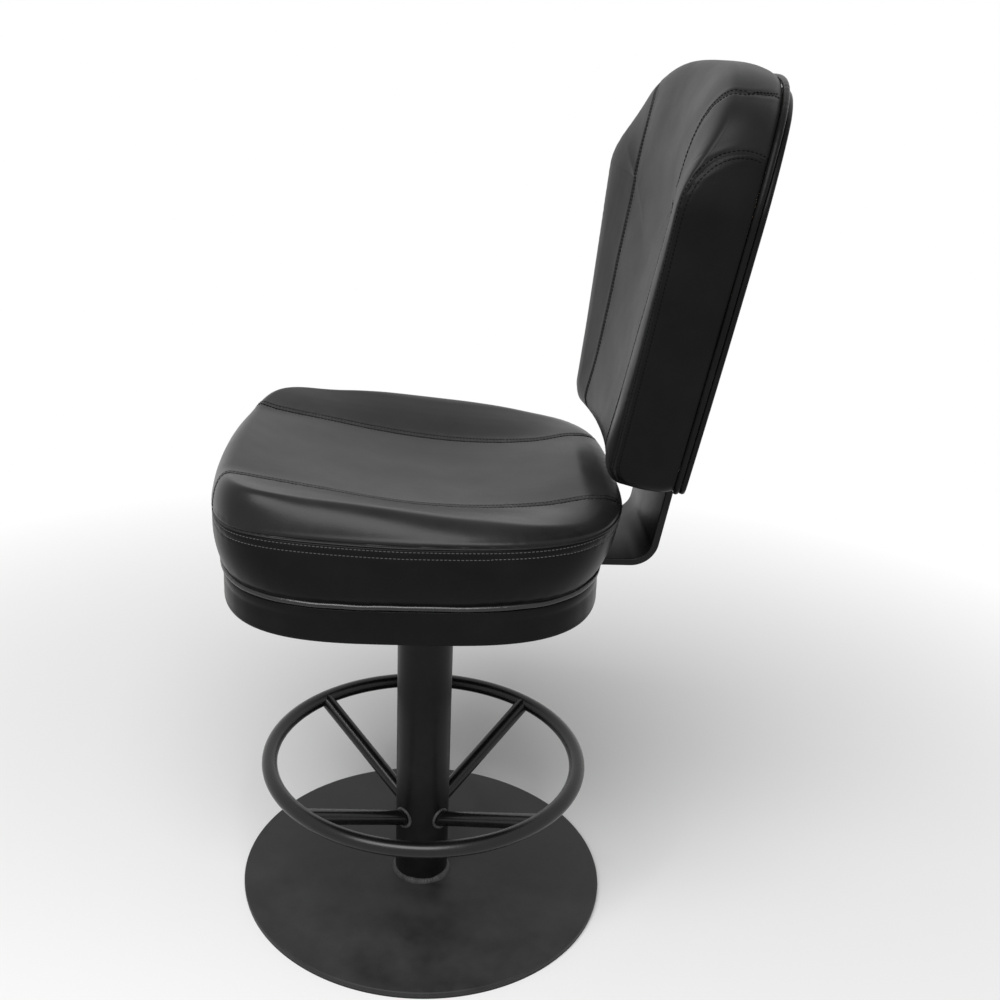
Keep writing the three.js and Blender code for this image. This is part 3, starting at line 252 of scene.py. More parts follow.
def drawn_to_seam(steps: Array, points_of: OfPoints, past_seam: OfPoints,
                  limits: Pair) -> Array:
    """A square's grid whose column at 0.5 is drawn onto a seam.

    Args:
        steps: The grid's places along both sides.
        points_of: Turns places on the square into points.
        past_seam: How far points lie beyond the seam.
        limits: The least and greatest place where the seam may run.

    Returns:
        The grid's places.
    """
    trial = np.linspace(0.0, 1.0, 400)
    past = past_seam(points_of(lattice(trial, steps)))
    meets = np.clip(trial[np.argmax(past > 0.0, axis=1)], *limits)
    meets = np.convolve(np.pad(meets, 4, mode="edge"), np.ones(9) / 9.0, mode="valid")[:, None]
    size = np.abs(steps)[None, :]
    bent = np.where(size < 0.5, size / 0.5 * meets, meets + (size - 0.5) / 0.5 * (1.0 - meets))
    across = np.sign(steps)[None, :] * bent
    return np.stack([across, np.broadcast_to(steps[:, None], across.shape)], axis=-1)


def along_seam(rows: Array, points_of: OfPoints, past_seam: OfPoints) -> tuple[Array, Array]:
    """The first point of each of a square's rows that lies beyond a seam, and whether the row has one."""
    trial = np.linspace(0.2, 1.0, 900)
    spots = points_of(lattice(trial, rows))
    past = past_seam(spots) > 0.0
    return spots[np.arange(len(rows)), np.argmax(past, axis=1)], np.any(past, axis=1)


def superellipse(ways: Array, half_width: float, half_depth: float, middle_y: float,
                 squareness: float) -> Array:
    """Where rays in the given directions meet a superellipse.

    The reach is (|c|^q + |s|^q)^(-1/q) along each direction (c, s), scaled by the half sizes.
    """
    reach = (np.abs(ways) ** squareness).sum(axis=-1) ** (-1.0 / squareness)
    half = np.array([half_width, half_depth])
    return ways * reach[..., None] * half + np.array([0.0, middle_y])


def round_ways(count: int) -> Array:
    """Directions evenly spaced round a full turn, from +X towards +Y."""
    angles = np.arange(count) / count * FULL_TURN
    return np.stack([np.cos(angles), np.sin(angles)], axis=1)


# Meshes


class Skin:
    """Collects the points and faces of one closed surface, in millimetres."""

    def __init__(self) -> None:
        """Starts with nothing in it."""
        self.points: list[Array] = []
        self.faces: list[Array] = []
        self.count = 0

    def add(self, points: Array) -> Array:
        """Adds points and returns their numbers in the shape of the grid they came in."""
        flat = points.reshape(-1, 3)
        numbers = np.arange(self.count, self.count + len(flat)).reshape(points.shape[:-1])
        self.points.append(flat)
        self.count += len(flat)
        return numbers

    def bridge(self, first: Array, second: Array) -> None:
        """Joins two closed rings of point numbers by a band of four-sided faces."""
        self.faces.append(np.stack([first, np.roll(first, -1), np.roll(second, -1), second], axis=1))

    def rings(self, rings: Array) -> Array:
        """Adds closed rings, joins each to the next and returns their numbers."""
        numbers = self.add(rings)
        for first, second in zip(numbers[:-1], numbers[1:]):
            self.bridge(first, second)
        return numbers

    def patch(self, grid: Array) -> Array:
        """Adds an open grid with its faces and returns its numbers."""
        numbers = self.add(grid)
        corners = [numbers[:-1, :-1], numbers[1:, :-1], numbers[1:, 1:], numbers[:-1, 1:]]
        self.faces.append(np.stack([corner.ravel() for corner in corners], axis=1))
        return numbers

    def close(self, ring: Array, pole: Array) -> None:
        """Closes a ring with triangles that meet in one point."""
        tip = np.full(len(ring), self.add(np.asarray(pole, dtype=float).reshape(1, 3))[0])
        self.faces.append(np.stack([ring, np.roll(ring, -1), tip], axis=1))

    def object(self, name: str, side_of: object = None) -> bpy.types.Object:
        """Makes the object, with its faces turned outwards by the sign of the volume that they hold.

        Args:
            name: The object's name.
            side_of: A function of face middles and the number of their group, true for the second material, a
                darker copy that paints shade.

        Returns:
            The new object, linked to the scene.
        """
        points = np.concatenate(self.points)
        volume = 0.0
        for faces in self.faces:
            first = points[faces[:, 0]]
            for k in range(1, faces.shape[1] - 1):
                volume += float((first * np.cross(points[faces[:, k]], points[faces[:, k + 1]])).sum())
        ordered = [faces if volume > 0.0 else faces[:, ::-1] for faces in self.faces]
        mesh = bpy.data.meshes.new(name)
        mesh.from_pydata((points * MM).tolist(), [], [face for faces in ordered for face in faces.tolist()])
        mesh.polygons.foreach_set("use_smooth", np.ones(len(mesh.polygons), dtype=bool))
        mesh.set_sharp_from_angle(angle=SHARP_ANGLE)
        if side_of is not None:
            marks = [side_of(points[faces].mean(axis=1), k) for k, faces in enumerate(ordered)]
            mesh.polygons.foreach_set("material_index", np.concatenate(marks).astype(np.int32))
        made = bpy.data.objects.new(name, mesh)
        bpy.context.scene.collection.objects.link(made)
        return made


def edge_of(numbers: Array) -> Array:
    """The numbers round the border of a grid, once, in order."""
    return np.concatenate([numbers[0, :-1], numbers[:-1, -1], numbers[-1, :0:-1], numbers[:0:-1, 0]])


def border_of(shape: tuple[int, int]) -> Array:
    """Where the border points of a grid of some shape stand among all its points, in order."""
    return edge_of(np.arange(shape[0] * shape[1]).reshape(shape))


def hoop(rings: Array) -> Skin:
    """The closed surface of rings of points of which the last joins the first."""
    skin = Skin()
    numbers = skin.rings(rings)
    skin.bridge(numbers[-1], numbers[0])
    return skin


def turned(profile: Array, steps: int) -> Array:
    """Turns a closed profile of (radius, height) about the Z axis into rings of points."""
    ways = round_ways(steps)
    radius = profile[:, :1]
    height = np.broadcast_to(profile[:, 1:], (len(profile), steps))
    return np.stack([radius * ways[:, 0], radius * ways[:, 1], height], axis=2)


def rounded_profile(corners: Array, radii: Array, steps: int = 6) -> Array:
    """A closed outline with each corner rounded by an arc that touches both of its sides.

    Args:
        corners: Corner points in order.
        radii: A radius for each corner.
        steps: Faces along each arc.

    Returns:
        The points of the rounded outline.
    """
    back = unit(np.roll(corners, 1, axis=0) - corners)
    ahead = unit(np.roll(corners, -1, axis=0) - corners)
    half = 0.5 * np.arccos(np.clip((back * ahead).sum(axis=1), -1.0, 1.0))
    middle = corners + unit(back + ahead) * (radii / np.sin(half))[:, None]
    start = corners + back * (radii / np.tan(half))[:, None] - middle
    end = corners + ahead * (radii / np.tan(half))[:, None] - middle
    sweep = np.arctan2(start[:, 0] * end[:, 1] - start[:, 1] * end[:, 0], (start * end).sum(axis=1))
    turn = sweep[:, None] * np.linspace(0.0, 1.0, steps + 1)[None, :]
    x = start[:, :1] * np.cos(turn) - start[:, 1:] * np.sin(turn)
    y = start[:, :1] * np.sin(turn) + start[:, 1:] * np.cos(turn)
    return (np.stack([x, y], axis=2) + middle[:, None, :]).reshape(-1, 2)


def cord(path: Array, radius: Array, closed: bool, up: Array, sides: int = 14) -> Skin:
    """A round cord along a path: circles in the plane across the path.

    Args:
        path: Points along the middle.
        radius: Radius at each point, or one for all.
        closed: Whether the ends meet.
        up: A direction that is never along the path.
        sides: Points round the cord.

    Returns:
        The closed surface.
    """
    if closed:
        along = unit(np.roll(path, -1, axis=0) - np.roll(path, 1, axis=0))
    else:
        along = unit(np.gradient(path, axis=0))
    side = unit(np.cross(along, up))
    rise = np.cross(side, along)
    ways = round_ways(sides)
    reach = np.broadcast_to(np.asarray(radius, dtype=float), (len(path),))[:, None, None]
    rings = path[:, None, :] + reach * (
        side[:, None, :] * ways[None, :, :1] + rise[:, None, :] * ways[None, :, 1:])
    if closed:
        return hoop(rings)
    skin = Skin()
    numbers = skin.rings(rings)
    skin.close(numbers[0][::-1], path[0] - along[0] * reach[0, 0, 0] * 0.5)
    skin.close(numbers[-1], path[-1] + along[-1] * reach[-1, 0, 0] * 0.5)
    return skin


# Shader graphs


class Shade:
    """A socket of a node tree that takes part in sums."""

    def __init__(self, graph: "Graph", socket: Socket) -> None:
        """Keeps the graph and the socket."""
        self.graph = graph
        self.socket = socket

    def _sum(self, operation: str, first: object, second: object) -> "Shade":
        """Adds one Math node."""
        node = self.graph.node("ShaderNodeMath", {"operation": operation}, {0: first, 1: second})
        return Shade(self.graph, node.outputs[0])

    def __add__(self, other: object) -> "Shade":
        """Self plus other."""
        return self._sum("ADD", self, other)

    __radd__ = __add__

    def __mul__(self, other: object) -> "Shade":
        """Self times other."""
        return self._sum("MULTIPLY", self, other)

    __rmul__ = __mul__

    def __pow__(self, other: object) -> "Shade":
        """Self to a power."""
        return self._sum("POWER", self, other)

    def spread(self, low: float, high: float) -> "Shade":
        """Stretches the band from low to high to 0..1 and cuts off what lies beyond."""
        node = self.graph.node(
            "ShaderNodeMapRange", {"clamp": True}, {"Value": self, "From Min": low, "From Max": high})
        return Shade(self.graph, node.outputs[0])


class Graph:
    """The node tree of one material, or of the world."""

    def __init__(self, owner: Material | bpy.types.World) -> None:
        """Empties the owner's tree."""
        self.owner = owner
        self.owner.use_nodes = True
        self.tree = self.owner.node_tree
        self.tree.nodes.clear()

    @classmethod
    def of_material(cls, name: str) -> "Graph":
        """Starts a new material."""
        return cls(bpy.data.materials.new(name))

    @cached_property
    def place(self) -> Socket:
        """Object coordinates."""
        return self.node("ShaderNodeTexCoord", {}, {}).outputs["Object"]

    def background_rays(self) -> Shade:
        """1 for rays that see the white background: from the camera, mirrored or passing through."""
        path = self.node("ShaderNodeLightPath", {}, {})
        seen = Shade(self, path.outputs["Is Camera Ray"]) + Shade(self, path.outputs["Is Glossy Ray"])
        return seen + Shade(self, path.outputs["Is Transmission Ray"])

    def node(self, kind: str, settings: dict[str, object], inputs: dict[object, object]) -> bpy.types.Node:
        """Adds any node.

        Args:
            kind: The node's type.
            settings: Its own settings, set first.
            inputs: Values, sockets or shades for its sockets, by name or number.

        Returns:
            The new node.
        """
        node = self.tree.nodes.new(kind)
        for key, value in settings.items():
            setattr(node, key, value)
        for key, value in inputs.items():
            socket = value.socket if isinstance(value, Shade) else value
            if isinstance(socket, Socket):
                self.tree.links.new(socket, node.inputs[key])
            else:
                node.inputs[key].default_value = socket
        return node

    def stretched(self, scale: Triple) -> Socket:
        """Object coordinates with each axis scaled."""
        return self.node("ShaderNodeMapping", {}, {"Vector": self.place, "Scale": scale}).outputs[0]

    def noise(self, size_mm: float, detail: float = 3.0, rough: float = 0.55,
              stretch: Triple = (1.0, 1.0, 1.0), warp: float = 0.0) -> Shade:
        """Cloudy noise whose lumps are about the given size."""
        settings = {"noise_dimensions": "3D"}
        inputs = {"Vector": self.stretched(stretch), "Scale": 1.0 / (size_mm * MM), "Detail": detail,
                  "Roughness": rough, "Distortion": warp}
        return Shade(self, self.node("ShaderNodeTexNoise", settings, inputs).outputs[0])

    def pebbles(self, size_mm: float) -> Shade:
        """Distance from the middle of the nearest of scattered cells of the given size."""
        node = self.node("ShaderNodeTexVoronoi", {"feature": "F1"}, {
            "Vector": self.place, "Scale": 1.0 / (size_mm * MM)})
        return Shade(self, node.outputs["Distance"])

    def mixed(self, first: object, second: object, share: object) -> Socket:
        """A colour between two others."""
        return self.node("ShaderNodeMix", {"data_type": "RGBA"}, {0: share, 6: first, 7: second}).outputs[2]

    def bump(self, height: Shade, depth_mm: float) -> Socket:
        """A normal tilted by a height of 0..1 that stands for a depth."""
        inputs = {"Height": height, "Distance": depth_mm * MM, "Strength": 1.0}
        return self.node("ShaderNodeBump", {}, inputs).outputs[0]

    def finish(self, colour: object, roughness: object, normal: object,
               fixed: dict[str, object]) -> Material:
        """Ends the graph with one Principled shader.

        Args:
            colour: Base colour, fixed or linked.
            roughness: Roughness, fixed or linked.
            normal: The bumped normal.
            fixed: Plain values for its other sockets.

        Returns:
            The material.
        """
        shader = self.node("ShaderNodeBsdfPrincipled", {}, {
            "Base Color": colour, "Roughness": roughness, "Normal": normal, **fixed})
        self.node("ShaderNodeOutputMaterial", {}, {"Surface": shader.outputs[0]})
        return self.owner


# Finishes


@dataclass(frozen=True)
class Vinyl:
    """Soft coated cloth: pebble grain, faint mottling and a low sheen."""

    name: str
    dark: float = 0.008
    light: float = 0.012
    roughness: float = 0.31
    specular: float = 0.16
    grain_mm: float = 1.3
    grain_depth_mm: float = 0.055

    def material(self) -> Material:
        """Builds the material."""
        graph = Graph.of_material(self.name)
        cells = graph.pebbles(self.grain_mm)
        pores = graph.noise(0.55, 2.0)
        cloud = graph.noise(46.0, 4.0)
        creases = graph.noise(7.0, 3.0, 0.6, warp=1.2)
        height = cells * 0.6 + pores * 0.25 + creases * 0.5
        colour = graph.mixed(grey(self.dark), grey(self.light), cloud.spread(0.3, 0.7))
        rough = cloud.spread(0.25, 0.75) * 0.07 + cells.spread(0.0, 0.9) * -0.05 + self.roughness
        return graph.finish(colour, rough, graph.bump(height, self.grain_depth_mm), {
            "Specular IOR Level": self.specular})


@dataclass(frozen=True)
class Coat:
    """Powder coat on steel: near black, fine orange peel and cloudy patches."""

    name: str
    dark: float = 0.0055
    light: float = 0.0095
    roughness: float = 0.3
    roughness_drift: float = 0.08
    specular: float = 0.15
    cloud_mm: float = 30.0
    peel_mm: float = 2.2
    peel_depth_mm: float = 0.03

    def material(self) -> Material:
        """Builds the material."""
        graph = Graph.of_material(self.name)
        cloud = graph.noise(self.cloud_mm, 5.0, 0.6)
        peel = graph.noise(self.peel_mm, 2.0)
        specks = graph.noise(0.7, 1.0)
        colour = graph.mixed(grey(self.dark), grey(self.light), cloud.spread(0.32, 0.68))
        rough = cloud.spread(0.3, 0.7) * self.roughness_drift + specks * 0.05 + self.roughness
        height = peel * 0.8 + specks * 0.2
        return graph.finish(colour, rough, graph.bump(height, self.peel_depth_mm), {
            "Specular IOR Level": self.specular})


@dataclass(frozen=True)
class Metal:
    """Bare or plated steel with fine lines across it."""

    name: str
    level: float = 0.5
    roughness: float = 0.34
    line_mm: float = 0.3
    stretch: Triple = (1.0, 1.0, 0.06)

    def material(self) -> Material:
        """Builds the material."""
        graph = Graph.of_material(self.name)
        lines = graph.noise(self.line_mm, 2.0, stretch=self.stretch)
        stains = graph.noise(9.0, 4.0, 0.6)
        colour = graph.mixed(grey(self.level * 0.82), grey(self.level), stains.spread(0.3, 0.7))
        rough = lines.spread(0.3, 0.7) * 0.12 + stains * 0.08 + self.roughness
        return graph.finish(colour, rough, graph.bump(lines, 0.012), {"Metallic": 1.0})


@dataclass(frozen=True)
class Plain:
    """Moulded nylon or rubber with a fine matt grain."""

    name: str
    colour: Colour
    roughness: float
    grain_mm: float = 0.8

    def material(self) -> Material:
        """Builds the material."""
        graph = Graph.of_material(self.name)
        grain = graph.noise(self.grain_mm, 3.0)
        cloud = graph.noise(14.0, 3.0)
        tint = tuple(0.8 * part for part in self.colour[:3]) + (1.0,)
        colour = graph.mixed(tint, self.colour, cloud.spread(0.3, 0.7))
        rough = grain * 0.12 + self.roughness
        return graph.finish(colour, rough, graph.bump(grain, 0.04), {"Specular IOR Level": 0.4})


@dataclass(frozen=True)
class Plywood:
    """Birch plywood: long figure on the faces and thin layers through its thickness."""

    name: str
    pale: Colour = (0.56, 0.38, 0.2, 1.0)
    deep: Colour = (0.36, 0.21, 0.09, 1.0)
    layer_mm: float = 1.5

    def material(self) -> Material:
        """Builds the material."""
        graph = Graph.of_material(self.name)
        figure = graph.noise(6.0, 5.0, 0.6, (1.0, 0.08, 1.0), 0.6)
        layers = graph.noise(self.layer_mm, 0.0, stretch=(0.004, 0.004, 1.0))
        share = figure.spread(0.3, 0.7) * 0.55 + layers.spread(0.4, 0.6) * 0.45
        colour = graph.mixed(self.pale, self.deep, share)
        return graph.finish(colour, figure * 0.15 + 0.55, graph.bump(figure, 0.08), {})


@dataclass(frozen=True)
class Thread:
    """Twisted sewing thread: fine slanting strands."""

    name: str
    level: float
    specular: float = 0.4

    def material(self) -> Material:
        """Builds the material."""
        graph = Graph.of_material(self.name)
        strands = graph.noise(0.25, 1.0, stretch=(1.0, 2.4, 1.0))
        colour = graph.mixed(grey(self.level * 0.6), grey(self.level), strands.spread(0.3, 0.7))
        return graph.finish(colour, strands * 0.15 + 0.5, graph.bump(strands, 0.05), {
            "Specular IOR Level": self.specular})


@dataclass(frozen=True)
class Underlining:
    """Pressed black cloth that closes the underside: short crossed fibres."""

    name: str

    def material(self) -> Material:
        """Builds the material."""
        graph = Graph.of_material(self.name)
        first = graph.noise(0.5, 2.0, stretch=(0.15, 1.0, 1.0))
        second = graph.noise(0.5, 2.0, stretch=(1.0, 0.15, 1.0))
        fibres = first * 0.5 + second * 0.5
        colour = graph.mixed(grey(0.006), grey(0.02), fibres.spread(0.35, 0.65))
        return graph.finish(colour, fibres * 0.1 + 0.85, graph.bump(fibres, 0.15), {
            "Specular IOR Level": 0.25})


class Paintbox:
    """All finishes of the stool, each built once, among them darker copies of the vinyl that paint shade and
    a grey thread that paints sheen.
    """

    def __init__(self) -> None:
        """Builds every material."""
        self.vinyl = Vinyl("soft_black_vinyl").material()
        # A darker, less reflective copy of the seat vinyl for the back's front: painted shade.
        self.shaded_front_vinyl = Vinyl("back_vinyl_painted_shade", dark=0.006, light=0.009, roughness=0.4,
                                 specular=0.11).material()
        # A darker, less reflective copy of the seat vinyl: painted shade on the cushion's sides, the skirt,
        # the back's side panels, its piping and the outer back.
        self.shaded_side_vinyl = Vinyl("side_vinyl_painted_shade", dark=0.0045, light=0.0065, specular=0.06).material()
        self.piping = Vinyl("tight_black_piping", dark=0.006, light=0.009, roughness=0.27, grain_mm=0.9,
                            grain_depth_mm=0.04, specular=0.4).material()
        self.coat = Coat("satin_black_coat").material()
        self.plate = Coat("matt_black_plate", dark=0.009, light=0.03, roughness=0.44, roughness_drift=0.2,
                          specular=0.28, cloud_mm=55.0, peel_mm=1.6).material()
        self.bars = Coat("bright_black_bars", dark=0.004, light=0.006, roughness=0.22, roughness_drift=0.04,
                         specular=0.3, peel_depth_mm=0.015).material()
        self.weld = Coat("coated_weld", dark=0.035, light=0.075, roughness=0.4, cloud_mm=9.0, peel_mm=2.4,
                         peel_depth_mm=0.12).material()
        self.zinc = Metal("zinc_plated_steel", level=0.55, roughness=0.32).material()
        self.bar = Metal("turned_steel", level=0.45, roughness=0.28, stretch=(0.06, 0.06, 1.0)).material()
        self.nylon = Plain("cast_nylon", (0.62, 0.6, 0.52, 1.0), 0.45).material()
        self.rubber = Plain("pad_rubber_black", grey(0.016), 0.75).material()
        self.plywood = Plywood("birch_plywood").material()
        self.thread = Thread("dark_thread", 0.003, 0.05).material()
        # Grey thread for the seat's side rows: black thread painted lighter, a painted sheen.
        self.sheen_painted_thread = Thread("black_thread_painted_sheen", 0.06).material()
        self.cloth = Underlining("black_underlining").material()


@dataclass(frozen=True)
class Fitting:
    """How one piece is mounted: its body, slot, finish and the solids that it stands for, and on some pieces
    a darker copy of the finish that paints shade on some of their faces.
    """

    body: Body
    slot: Slot
    finish: Material
    stands_for: tuple[str, ...] = ()
    # A darker copy of the finish: painted shade on the faces that side_of picks.
    shaded_side_finish: Material | None = None


def mount(skin: Skin, name: str, fitting: Fitting, side_of: object = None) -> bpy.types.Object:
    """Makes a piece from its surface, dresses it and fixes it to its body."""
    return dress(skin.object(name, side_of), fitting)


def dress(piece: bpy.types.Object, fitting: Fitting) -> bpy.types.Object:
    """Gives a piece its finish and its body, and hides the solids that it stands for."""
    piece.data.materials.append(fitting.finish)
    # The second material is a darker copy that paints shade on the faces side_of picks.
    if fitting.shaded_side_finish is not None:
        piece.data.materials.append(fitting.shaded_side_finish)
    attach(piece, fitting.body.value)
    if fitting.stands_for:
        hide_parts(*fitting.stands_for)
    LOG.info("%s: %d faces on %s", piece.name, len(piece.data.polygons), fitting.body.value)
    return piece


# Base: plate, column, foot ring and the bars between them


@dataclass
class Pedestal:
    """The standing half: floor pad, base plate, column, foot ring, spokes and welds. Sizes in millimetres."""

    paints: Paintbox
    plate_radius: float = 228.6
    pad_inset: float = 0.6
    pad_top: float = 2.0
    plate_top: float = 9.0
    plate_edge: float = 1.7
    column_radius: float = 33.4
    column_wall: float = 3.0
    column_top: float = 448.0
    ring_radius: float = 191.4
    ring_height: float = 177.4
    bar_radius: float = 9.5
    spoke_radius: float = 9.2
    spoke_foot: float = 99.5
    weld_leg: float = 5.5
    spoke_weld_leg: float = 4.0
    foot_beads: int = 58
    spoke_beads: int = 21
    weld_steps: int = 150
    weld_sink: float = 0.3
    weld_curve: float = 0.85
    bead_fullness: float = 0.55
    fine_steps: int = 240

    def fitting(self, finish: Material, slot: Slot, *stands_for: str) -> Fitting:
        """A fitting on the base."""
        return Fitting(Body.BASE, slot, finish, stands_for)

    def disc(self, profile: Array, name: str, fitting: Fitting) -> None:
        """Turns an open profile into a solid disc that closes on the axis at both ends."""
        skin = Skin()
        numbers = skin.rings(turned(profile, self.fine_steps))
        skin.close(numbers[0], np.array([0.0, 0.0, profile[0, 1]]))
        skin.close(numbers[-1], np.array([0.0, 0.0, profile[-1, 1]]))
        mount(skin, name, fitting)

    def rim(self, radius: float, low: float, high: float, edge: float, inner: Array) -> Array:
        """Half the section of a disc: in along the top, round two edges, back along the bottom."""
        turn = np.linspace(0.0, 0.5 * np.pi, 7)
        top = np.stack([radius - edge + edge * np.sin(turn), high - edge + edge * np.cos(turn)], axis=1)
        foot = np.stack([radius - edge + edge * np.cos(turn), low + edge - edge * np.sin(turn)], axis=1)
        return np.concatenate([at_height(inner, high), top, foot, at_height(inner[::-1], low)])

    def build_plate(self) -> None:
        """Base plate with rounded rim, and the rubber pad under it."""
        inner = np.linspace(0.1, 0.98, 10)[:, None] * self.plate_radius
        plate = self.rim(self.plate_radius, self.pad_top, self.plate_top, self.plate_edge, inner)
        self.disc(plate, "round_base_plate", self.fitting(self.paints.plate, Slot.COAT, "base_plate"))
        inset = self.plate_radius - self.pad_inset
        pad = self.rim(inset, 0.0, self.pad_top, 0.4, inner * inset / self.plate_radius)
        self.disc(pad, "round_floor_pad", self.fitting(self.paints.rubber, Slot.RUBBER, "floor_pad"))

    def build_column(self) -> None:
        """Column tube with a rounded lip at its top."""
        outer, inner = self.column_radius, self.column_radius - self.column_wall
        corners = np.array([[outer, self.plate_top], [outer, self.column_top],
                            [inner, self.column_top], [inner, self.plate_top]])
        profile = rounded_profile(corners, np.array([0.01, 1.2, 0.8, 0.01]), 4)
        ladder = np.linspace(0.03, 0.97, 24)[:, None]
        first = np.hstack([np.full_like(ladder, outer), between(self.plate_top, self.column_top, ladder)])
        last = np.hstack([np.full_like(ladder, inner), between(self.column_top, self.plate_top, ladder)])
        whole = np.concatenate([profile[:5], first, profile[5:15], last, profile[15:]])
        fitting = self.fitting(self.paints.coat, Slot.COAT, "column_tube")
        mount(hoop(turned(whole, self.fine_steps)), "column", fitting)

    def build_foot_weld(self) -> None:
        """Uneven welded bead round the column's foot, laid in short overlapping beads."""
        turns = np.arange(self.fine_steps * 2) / (self.fine_steps * 2) * FULL_TURN
        ways = round_ways(self.fine_steps * 2)
        uneven = wander(ways * self.column_radius, 24.0, 5)
        beads = 0.5 + 0.5 * np.cos(turns * self.foot_beads + 1.4 * wander(ways * self.column_radius, 40.0, 9))
        leg = self.weld_leg * (0.93 + 0.08 * uneven) * (0.94 + 0.06 * beads)
        face = np.linspace(0.0, 1.0, 9)[:, None]
        swell = self.bead_fullness * np.sin(face * np.pi) * (0.7 + 0.3 * beads)
        root = self.column_radius - self.weld_sink
        out = root + leg[None, :] * face ** self.weld_curve + swell
        height = self.plate_top - 0.2 + leg[None, :] * (1.0 - face) ** self.weld_curve + swell
        out = np.vstack([out, np.full_like(out[:1], root - 0.4)])
        height = np.vstack([height, np.full_like(height[:1], self.plate_top - self.weld_sink)])
        rings = np.stack([out * ways[:, 0], out * ways[:, 1], height], axis=2)
        mount(hoop(rings), "column_foot_weld", self.fitting(self.paints.weld, Slot.WELD, "foot_weld"))

    def build_ring(self) -> None:
        """Foot ring: a circle carried round the column."""
        ways = round_ways(self.fine_steps + 80)
        path = at_height(ways * self.ring_radius, self.ring_height)
        bar = cord(path, self.bar_radius, True, np.array([0.0, 0.0, 1.0]), 36)
        mount(bar, "foot_rest_ring", self.fitting(self.paints.bars, Slot.COAT, "foot_ring"))

    def spoke_run(self) -> tuple[Array, Array, Array, Array]:
        """Start, direction and two cross directions of the bar that lies over +X."""
        start = np.array([self.column_radius, 0.0, self.spoke_foot])
        end = np.array([self.ring_radius, 0.0, self.ring_height])
        along = unit(end - start)
        side = np.array([0.0, 1.0, 0.0])
        return start, along, side, np.cross(along, side)

    def on_column(self, lines: Array, along: Array) -> Array:
        """How far along the bar each line of its surface meets the column: the root of a quadratic."""
        a = along[0] ** 2 + along[1] ** 2
        b = 2.0 * (lines[:, 0] * along[0] + lines[:, 1] * along[1])
        c = lines[:, 0] ** 2 + lines[:, 1] ** 2 - self.column_radius ** 2
        return (-b + np.sqrt(b * b - 4.0 * a * c)) / (2.0 * a)

    def on_ring(self, lines: Array, along: Array, reach: float) -> Array:
        """How far along the bar each line first comes within a reach of the ring's middle circle."""
        run = np.hypot(self.ring_radius - self.column_radius, self.ring_height - self.spoke_foot)
        low, high = np.full(len(lines), 20.0), np.full(len(lines), run)
        for _ in range(40):
            middle = 0.5 * (low + high)
            spot = lines + middle[:, None] * along
            gap = np.hypot(np.hypot(spot[:, 0], spot[:, 1]) - self.ring_radius, spot[:, 2] - self.ring_height)
            low, high = np.where(gap > reach, middle, low), np.where(gap > reach, high, middle)
        return low

    def build_spokes(self) -> None:
        """Four sloping bars, each coped to the column and to the ring, and their weld beads."""
        start, along, side, rise = self.spoke_run()
        ways = round_ways(48)
        lines = start + self.spoke_radius * (ways[:, :1] * side + ways[:, 1:] * rise)
        near = self.on_column(lines, along) - 0.2
        far = self.on_ring(lines, along, self.bar_radius - 0.35)
        shares = np.linspace(0.0, 1.0, 26)[:, None]
        places = near + (far - near) * shares
        rings = lines[None, :, :] + places[..., None] * along
        seam_turns = np.arange(self.weld_steps) / self.weld_steps * FULL_TURN
        seam_ways = round_ways(self.weld_steps)
        grown = self.spoke_radius + 0.45 * self.spoke_weld_leg
        seam_lines = start + grown * (seam_ways[:, :1] * side + seam_ways[:, 1:] * rise)
        seam = seam_lines + (self.on_column(seam_lines, along) + 0.5)[:, None] * along
        beads = 0.5 + 0.5 * np.cos(seam_turns * self.spoke_beads)
        for k in range(4):
            turn = np.pi * (0.25 + 0.5 * k)
            c, s = np.cos(turn), np.sin(turn)
            spin = np.array([[c, s, 0.0], [-s, c, 0.0], [0.0, 0.0, 1.0]])
            skin = Skin()
            numbers = skin.rings(rings @ spin)
            skin.close(numbers[0], (rings[0].mean(axis=0)) @ spin)
            skin.close(numbers[-1], (rings[-1].mean(axis=0)) @ spin)
            mount(skin, f"foot_bar_{k + 1}", self.fitting(self.paints.bars, Slot.COAT, f"spoke_{k + 1}"))
            uneven = wander(seam_ways * 10.0, 14.0, 20 + k)
            radius = 0.5 * self.spoke_weld_leg * (0.92 + 0.08 * uneven + 0.1 * beads)
            bead = cord(seam @ spin, radius, True, along @ spin, 10)
            name = f"bar_weld_{k + 1}"
            mount(bead, name, self.fitting(self.paints.weld, Slot.WELD, f"spoke_weld_{k + 1}"))

    def build(self) -> None:
        """Builds every piece of the base."""
        self.build_plate()
        self.build_column()
        self.build_foot_weld()
        self.build_ring()
        self.build_spokes()


# Sewn covers: shared helpers


@dataclass(frozen=True)
class Padding:
    """Settings of the cloth simulation that fills a cover."""

    voxel_mm: float = 5.5
    pressure: float = 4.0
    pin_mm: float = 9.0
    cap_mm: float = 1.8
    frames: int = 20
    drawn_in_mm: float = 2.0
    slack: float = 0.006
    bending: float = 1.2
    cell_mm: float = 14.0
    blurs: int = 4


